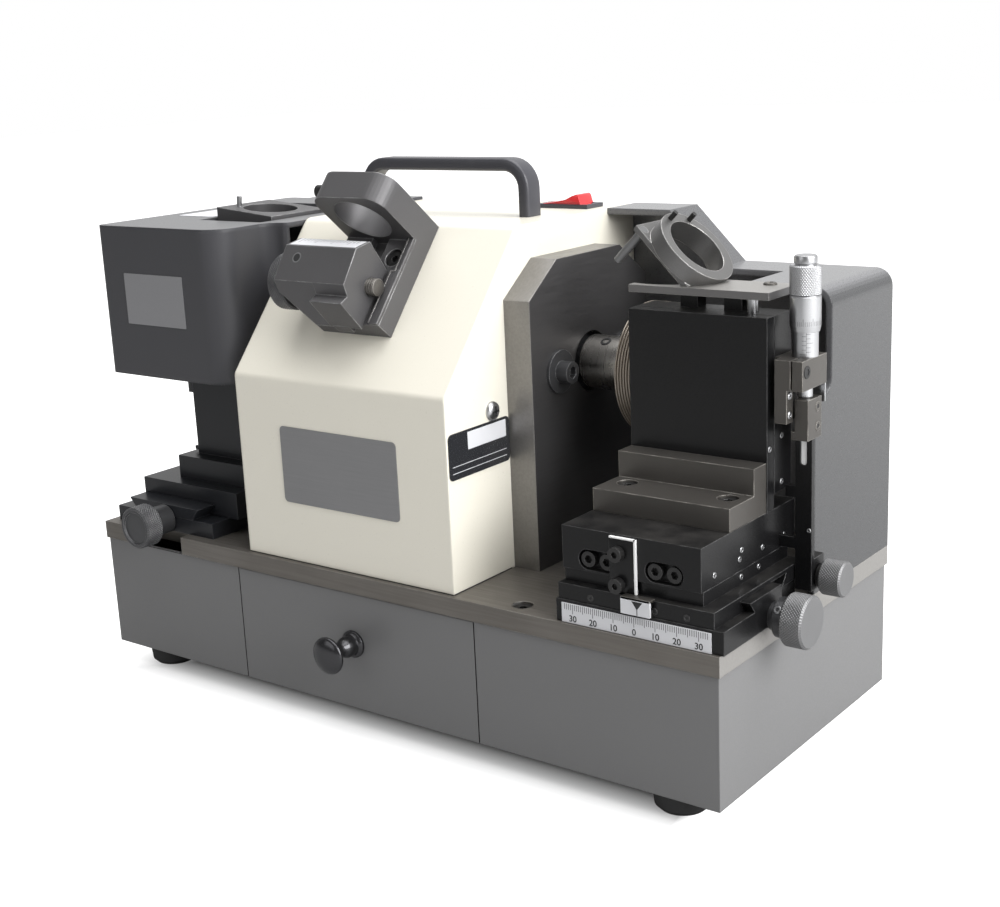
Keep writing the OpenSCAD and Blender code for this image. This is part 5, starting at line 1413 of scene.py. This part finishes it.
class Micrometer(SubAssembly):
    """Thimble, sleeve, spindle and the screws of their holder."""

    title = "micrometer"
    axis = (185.2, 72.5)
    facing = -60.0
    skirt = [(5.72, 117.0), (5.9, 116.9), (6.3, 119.0), (6.4, 119.4), (6.4, 131.0), (6.1, 131.4), (6.1, 131.6),
             (5.72, 131.6), (5.72, 117.0)]
    knurl = KnobSize(6.5, 12.2, 40, 8, 0.3, 0.5)
    knurl_z = 131.6
    cap = [(0, 143.5), (4.3, 143.5), (4.3, 144.3), (4.7, 144.6), (4.7, 147.0), (4.4, 147.6), (3.9, 147.8),
           (0, 147.8)]
    needle = [(0, 89.3), (2.9, 89.3), (3.2, 89.7), (3.2, 131), (0, 131)]
    sleeve = [(3.25, 94), (4.0, 94), (4.0, 106.5), (5.4, 106.5), (5.4, 125.0), (3.25, 125.0)]
    divisions = 50
    thimble_line_r = 6.42
    sleeve_line_r = 5.42
    step = 0.92
    back_strip = ((185.6, 81.0, 86.0), (190.0, 82.0, 94.0))

    def head(self, up: Pose) -> None:
        """Makes the turned pieces.

        Args:
            up: Frame along the micrometer's axis.
        """
        skirt = MeshKit.turned("thimble_skirt", self.skirt, up, 72)
        self.dress(skirt, Finishes.CHROME, Body.THIMBLE, "chrome", "mic_thimble")
        knurl = MeshKit.knurled("thimble_knurl", Pose.along((*self.axis, self.knurl_z), Axis.Z), self.knurl)
        self.dress(knurl, Finishes.CHROME, Body.THIMBLE, "chrome")
        self.dress(MeshKit.turned("thimble_cap", self.cap, up, 56), Finishes.CHROME, Body.THIMBLE, "chrome")
        self.dress(MeshKit.turned("mic_needle", self.needle, up, 48), Finishes.CHROME, Body.THIMBLE, "chrome")
        sleeve = MeshKit.turned("mic_barrel", self.sleeve, up, 64)
        self.dress(sleeve, Finishes.CHROME, Body.LIFT, "chrome", "mic_sleeve")

    def lines(self, up: Pose) -> None:
        """Makes the lines of both scales.

        Args:
            up: Frame along the micrometer's axis.
        """
        r = self.thimble_line_r
        around = [(360 / self.divisions * k, r, 119.5, r, 121.4 if k % 5 else 122.6) for k in range(self.divisions)]
        self.dress(MeshKit.ticks("thimble_lines", up, around, 0.14), Finishes.INK, Body.THIMBLE, "chrome")
        r = self.sleeve_line_r
        steps = []
        for k in range(10):
            wide, sign, h = 16 if k % 5 else 26, 1 if k % 2 else -1, k * self.step
            steps += [(self.facing + sign * wide * s / 6, r, 107.9 + h, r, 108.03 + h) for s in range(1, 7)]
        datum = MeshKit.ticks("sleeve_datum", up, [(self.facing, r, 107.6, r, 116.8)], 0.13)
        lines = joined("sleeve_lines", [datum, MeshKit.ticks("sleeve_steps", up, steps, 0.5)])
        self.dress(lines, Finishes.INK, Body.LIFT, "chrome")

    def build(self) -> None:
        """Makes the micrometer head and its screws."""
        up = Pose.along((*self.axis, 0), Axis.Z)
        self.head(up)
        self.lines(up)
        rows = (
            ("mic_clamp_screw", [on_right(190.2, 64.0, 101.6)], ScrewSize(2.7, 0.3, 1.5, 0.25), Finishes.INK,
             Body.LIFT, "black_steel"),
            ("mic_plate_screws", [on_right(183.2, 62.6, z) for z in (91.4, 83.4)],
             ScrewSize(1.7, 0.5, 0.9, 0.3, 0.3), Finishes.CHROME, Body.LIFT, "chrome"),
            ("anvil_screws", [on_right(189.8, 75.0, z) for z in (85.3, 76.9)],
             ScrewSize(2.2, 0.15, 1.2, 0.12, 0.1), Finishes.BURNISHED, Body.CROSS, "black_steel"),
        )
        for row in rows:
            self.screws(*row)
        # Painted highlight: a chrome strip stands in for the highlight on the hood wall's edge behind the holder.
        strip = MeshKit.boxes("mic_highlight_strip", [self.back_strip], 0.1)
        self.dress(strip, Finishes.CHROME, Body.LIFT, "chrome")


@dataclass(frozen=True)
class StudioSizes:
    """Camera and light values.

    Attributes:
        azimuth: Camera azimuth in degrees.
        elevation: Camera elevation in degrees.
        roll: Camera roll in degrees.
        eye: Camera place in plate millimetres.
        lens: Focal length.
        sensor: Sensor width.
        ambient: Light level in front of the machine.
        behind: Light level behind it.
        side: What the right side adds.
        aim: Where the lights face, in metres.
    """

    azimuth: float = 37.6866
    elevation: float = 14.6743
    roll: float = -2.6363
    eye: Triple = (463.187, -493.813, 233.049)
    lens: float = 55.6014
    sensor: float = 36.0
    ambient: float = 0.15
    behind: float = 0.95
    side: float = 0.25
    aim: Triple = (0, 0, 0.1)


class Studio:
    """Camera, lights, floor and backdrop."""

    sizes = StudioSizes()
    black = (0, 0, 0, 1)
    white = (1, 1, 1, 1)

    def camera(self) -> None:
        """Makes the camera that matches the photo."""
        s = self.sizes
        az, el, roll = (math.radians(v) for v in (s.azimuth, s.elevation, s.roll))
        right = Vector((math.cos(az), math.sin(az), 0))
        back = Vector((math.sin(az) * math.cos(el), -math.cos(az) * math.cos(el), math.sin(el)))
        up = back.cross(right)
        r = right * math.cos(roll) + up * math.sin(roll)
        u = up * math.cos(roll) - right * math.sin(roll)
        data = bpy.data.cameras.new("camera")
        data.lens = s.lens
        data.sensor_width = s.sensor
        data.clip_start, data.clip_end = 0.01, 50.0
        cam = linked("camera", data)
        cam.matrix_world = Matrix.Translation(place(*s.eye)) @ Matrix((r, u, back)).transposed().to_4x4()
        bpy.context.scene.camera = cam

    def light(self, name: str, where: Triple, size: tuple[float, float], power: float) -> None:
        """Adds a soft area light.

        Args:
            name: Light name.
            where: Place in metres of the row frame.
            size: Width and height in metres.
            power: Watts.
        """
        data = bpy.data.lights.new(name, "AREA")
        data.shape = "RECTANGLE"
        data.size, data.size_y = size
        data.energy = power
        obj = linked(name, data)
        obj.location = where
        obj.rotation_euler = (Vector(self.sizes.aim) - Vector(where)).to_track_quat("-Z", "Y").to_euler()
        obj.visible_camera = False

    def backdrop(self) -> None:
        """White for the camera and soft grey for everything else."""
        world = bpy.data.worlds.new("backdrop")
        bpy.context.scene.world = world
        world.use_nodes = True
        world.node_tree.nodes.clear()
        g = Graph(world.node_tree)
        x, y, _ = g.parts(g.add("ShaderNodeTexCoord").outputs["Generated"])
        behind = g.spread(y, -0.5, 0.8, self.sizes.ambient, self.sizes.behind)
        level = g.math("ADD", behind, g.spread(x, 0.1, 1.0, 0.0, self.sizes.side))
        seen = g.add("ShaderNodeLightPath").outputs["Is Camera Ray"]
        colour = g.mix(seen, g.mix(level, self.black, self.white), self.white)
        shader = g.add("ShaderNodeBackground", {"Color": colour, "Strength": 1.0})
        g.add("ShaderNodeOutputWorld", {0: shader.outputs[0]})

    def floor(self) -> None:
        """A grey floor that glows white for the camera away from the machine and, on its right part, for glossy rays;
        the glow paints out the shadow beside the right side and fades the one in front.
        """
        bm = bmesh.new()
        bmesh.ops.create_grid(bm, x_segments=1, y_segments=1, size=6.0)
        obj = mesh_object("floor", bm)
        mat = bpy.data.materials.new("floor_white")
        mat.use_nodes = True
        g = Graph(mat.node_tree)
        noise = g.add("ShaderNodeTexNoise", {"Scale": 30.0}).outputs[0]
        x, y, _ = g.parts(g.where())
        # Painted light: camera rays see a white glow except near the front edge, where a ramp fades the rendered
        # shadow into it; beside the right side the glow paints out the shadow.
        clear = g.spread(y, -0.052, -0.09)
        for side in (g.spread(x, 0.15, 0.157), g.spread(y, 0.09, 0.13), g.spread(x, -0.15, -0.19)):
            clear = g.math("MAXIMUM", clear, side)
        path = g.add("ShaderNodeLightPath").outputs
        # Painted reflection: the right part of the floor glows for glossy rays.
        painted_reflection_glow = g.math("MULTIPLY", path["Is Glossy Ray"], g.spread(x, 0.2, 0.7))
        seen = g.math("MULTIPLY", clear, g.math("ADD", path["Is Camera Ray"], painted_reflection_glow, True))
        g.feed(mat.node_tree.nodes["Principled BSDF"], {
            "Base Color": g.mix(noise, (0.4, 0.4, 0.4, 1), (0.42, 0.42, 0.42, 1)), "Roughness": 0.6,
            "Emission Color": g.mix(seen, self.black, self.white), "Emission Strength": 1.0})
        obj.data.materials.append(mat)

    def build(self) -> None:
        """Makes the whole studio."""
        self.camera()
        self.backdrop()
        self.floor()
        self.light("key_right", (1.65, -0.15, 0.95), (1.4, 1.3), 44.0)
        self.light("top", (0.1, 0.2, 1.9), (2.2, 1.8), 40.0)
        self.light("front", (-0.6, -1.8, 0.9), (1.4, 1.0), 5.0)
        bpy.context.scene.view_settings.view_transform = "Standard"
        LOG.info("studio: camera, lights, floor and backdrop")


class Grinder:
    """The whole machine."""

    groups: tuple[type[SubAssembly], ...] = (CadPieces, Drawer, Cover, Carrying, Spindle, LeftHead, Gauge, RightStage,
                                             TopTable, Micrometer)

    def build(self) -> None:
        """Builds every group."""
        for group in self.groups:
            group().build()


def main() -> None:
    """Builds the machine and the studio."""
    logging.basicConfig(level=logging.INFO, format="%(message)s")
    Grinder().build()
    Studio().build()
    bpy.context.view_layer.update()


if __name__ == "__main__":
    main()
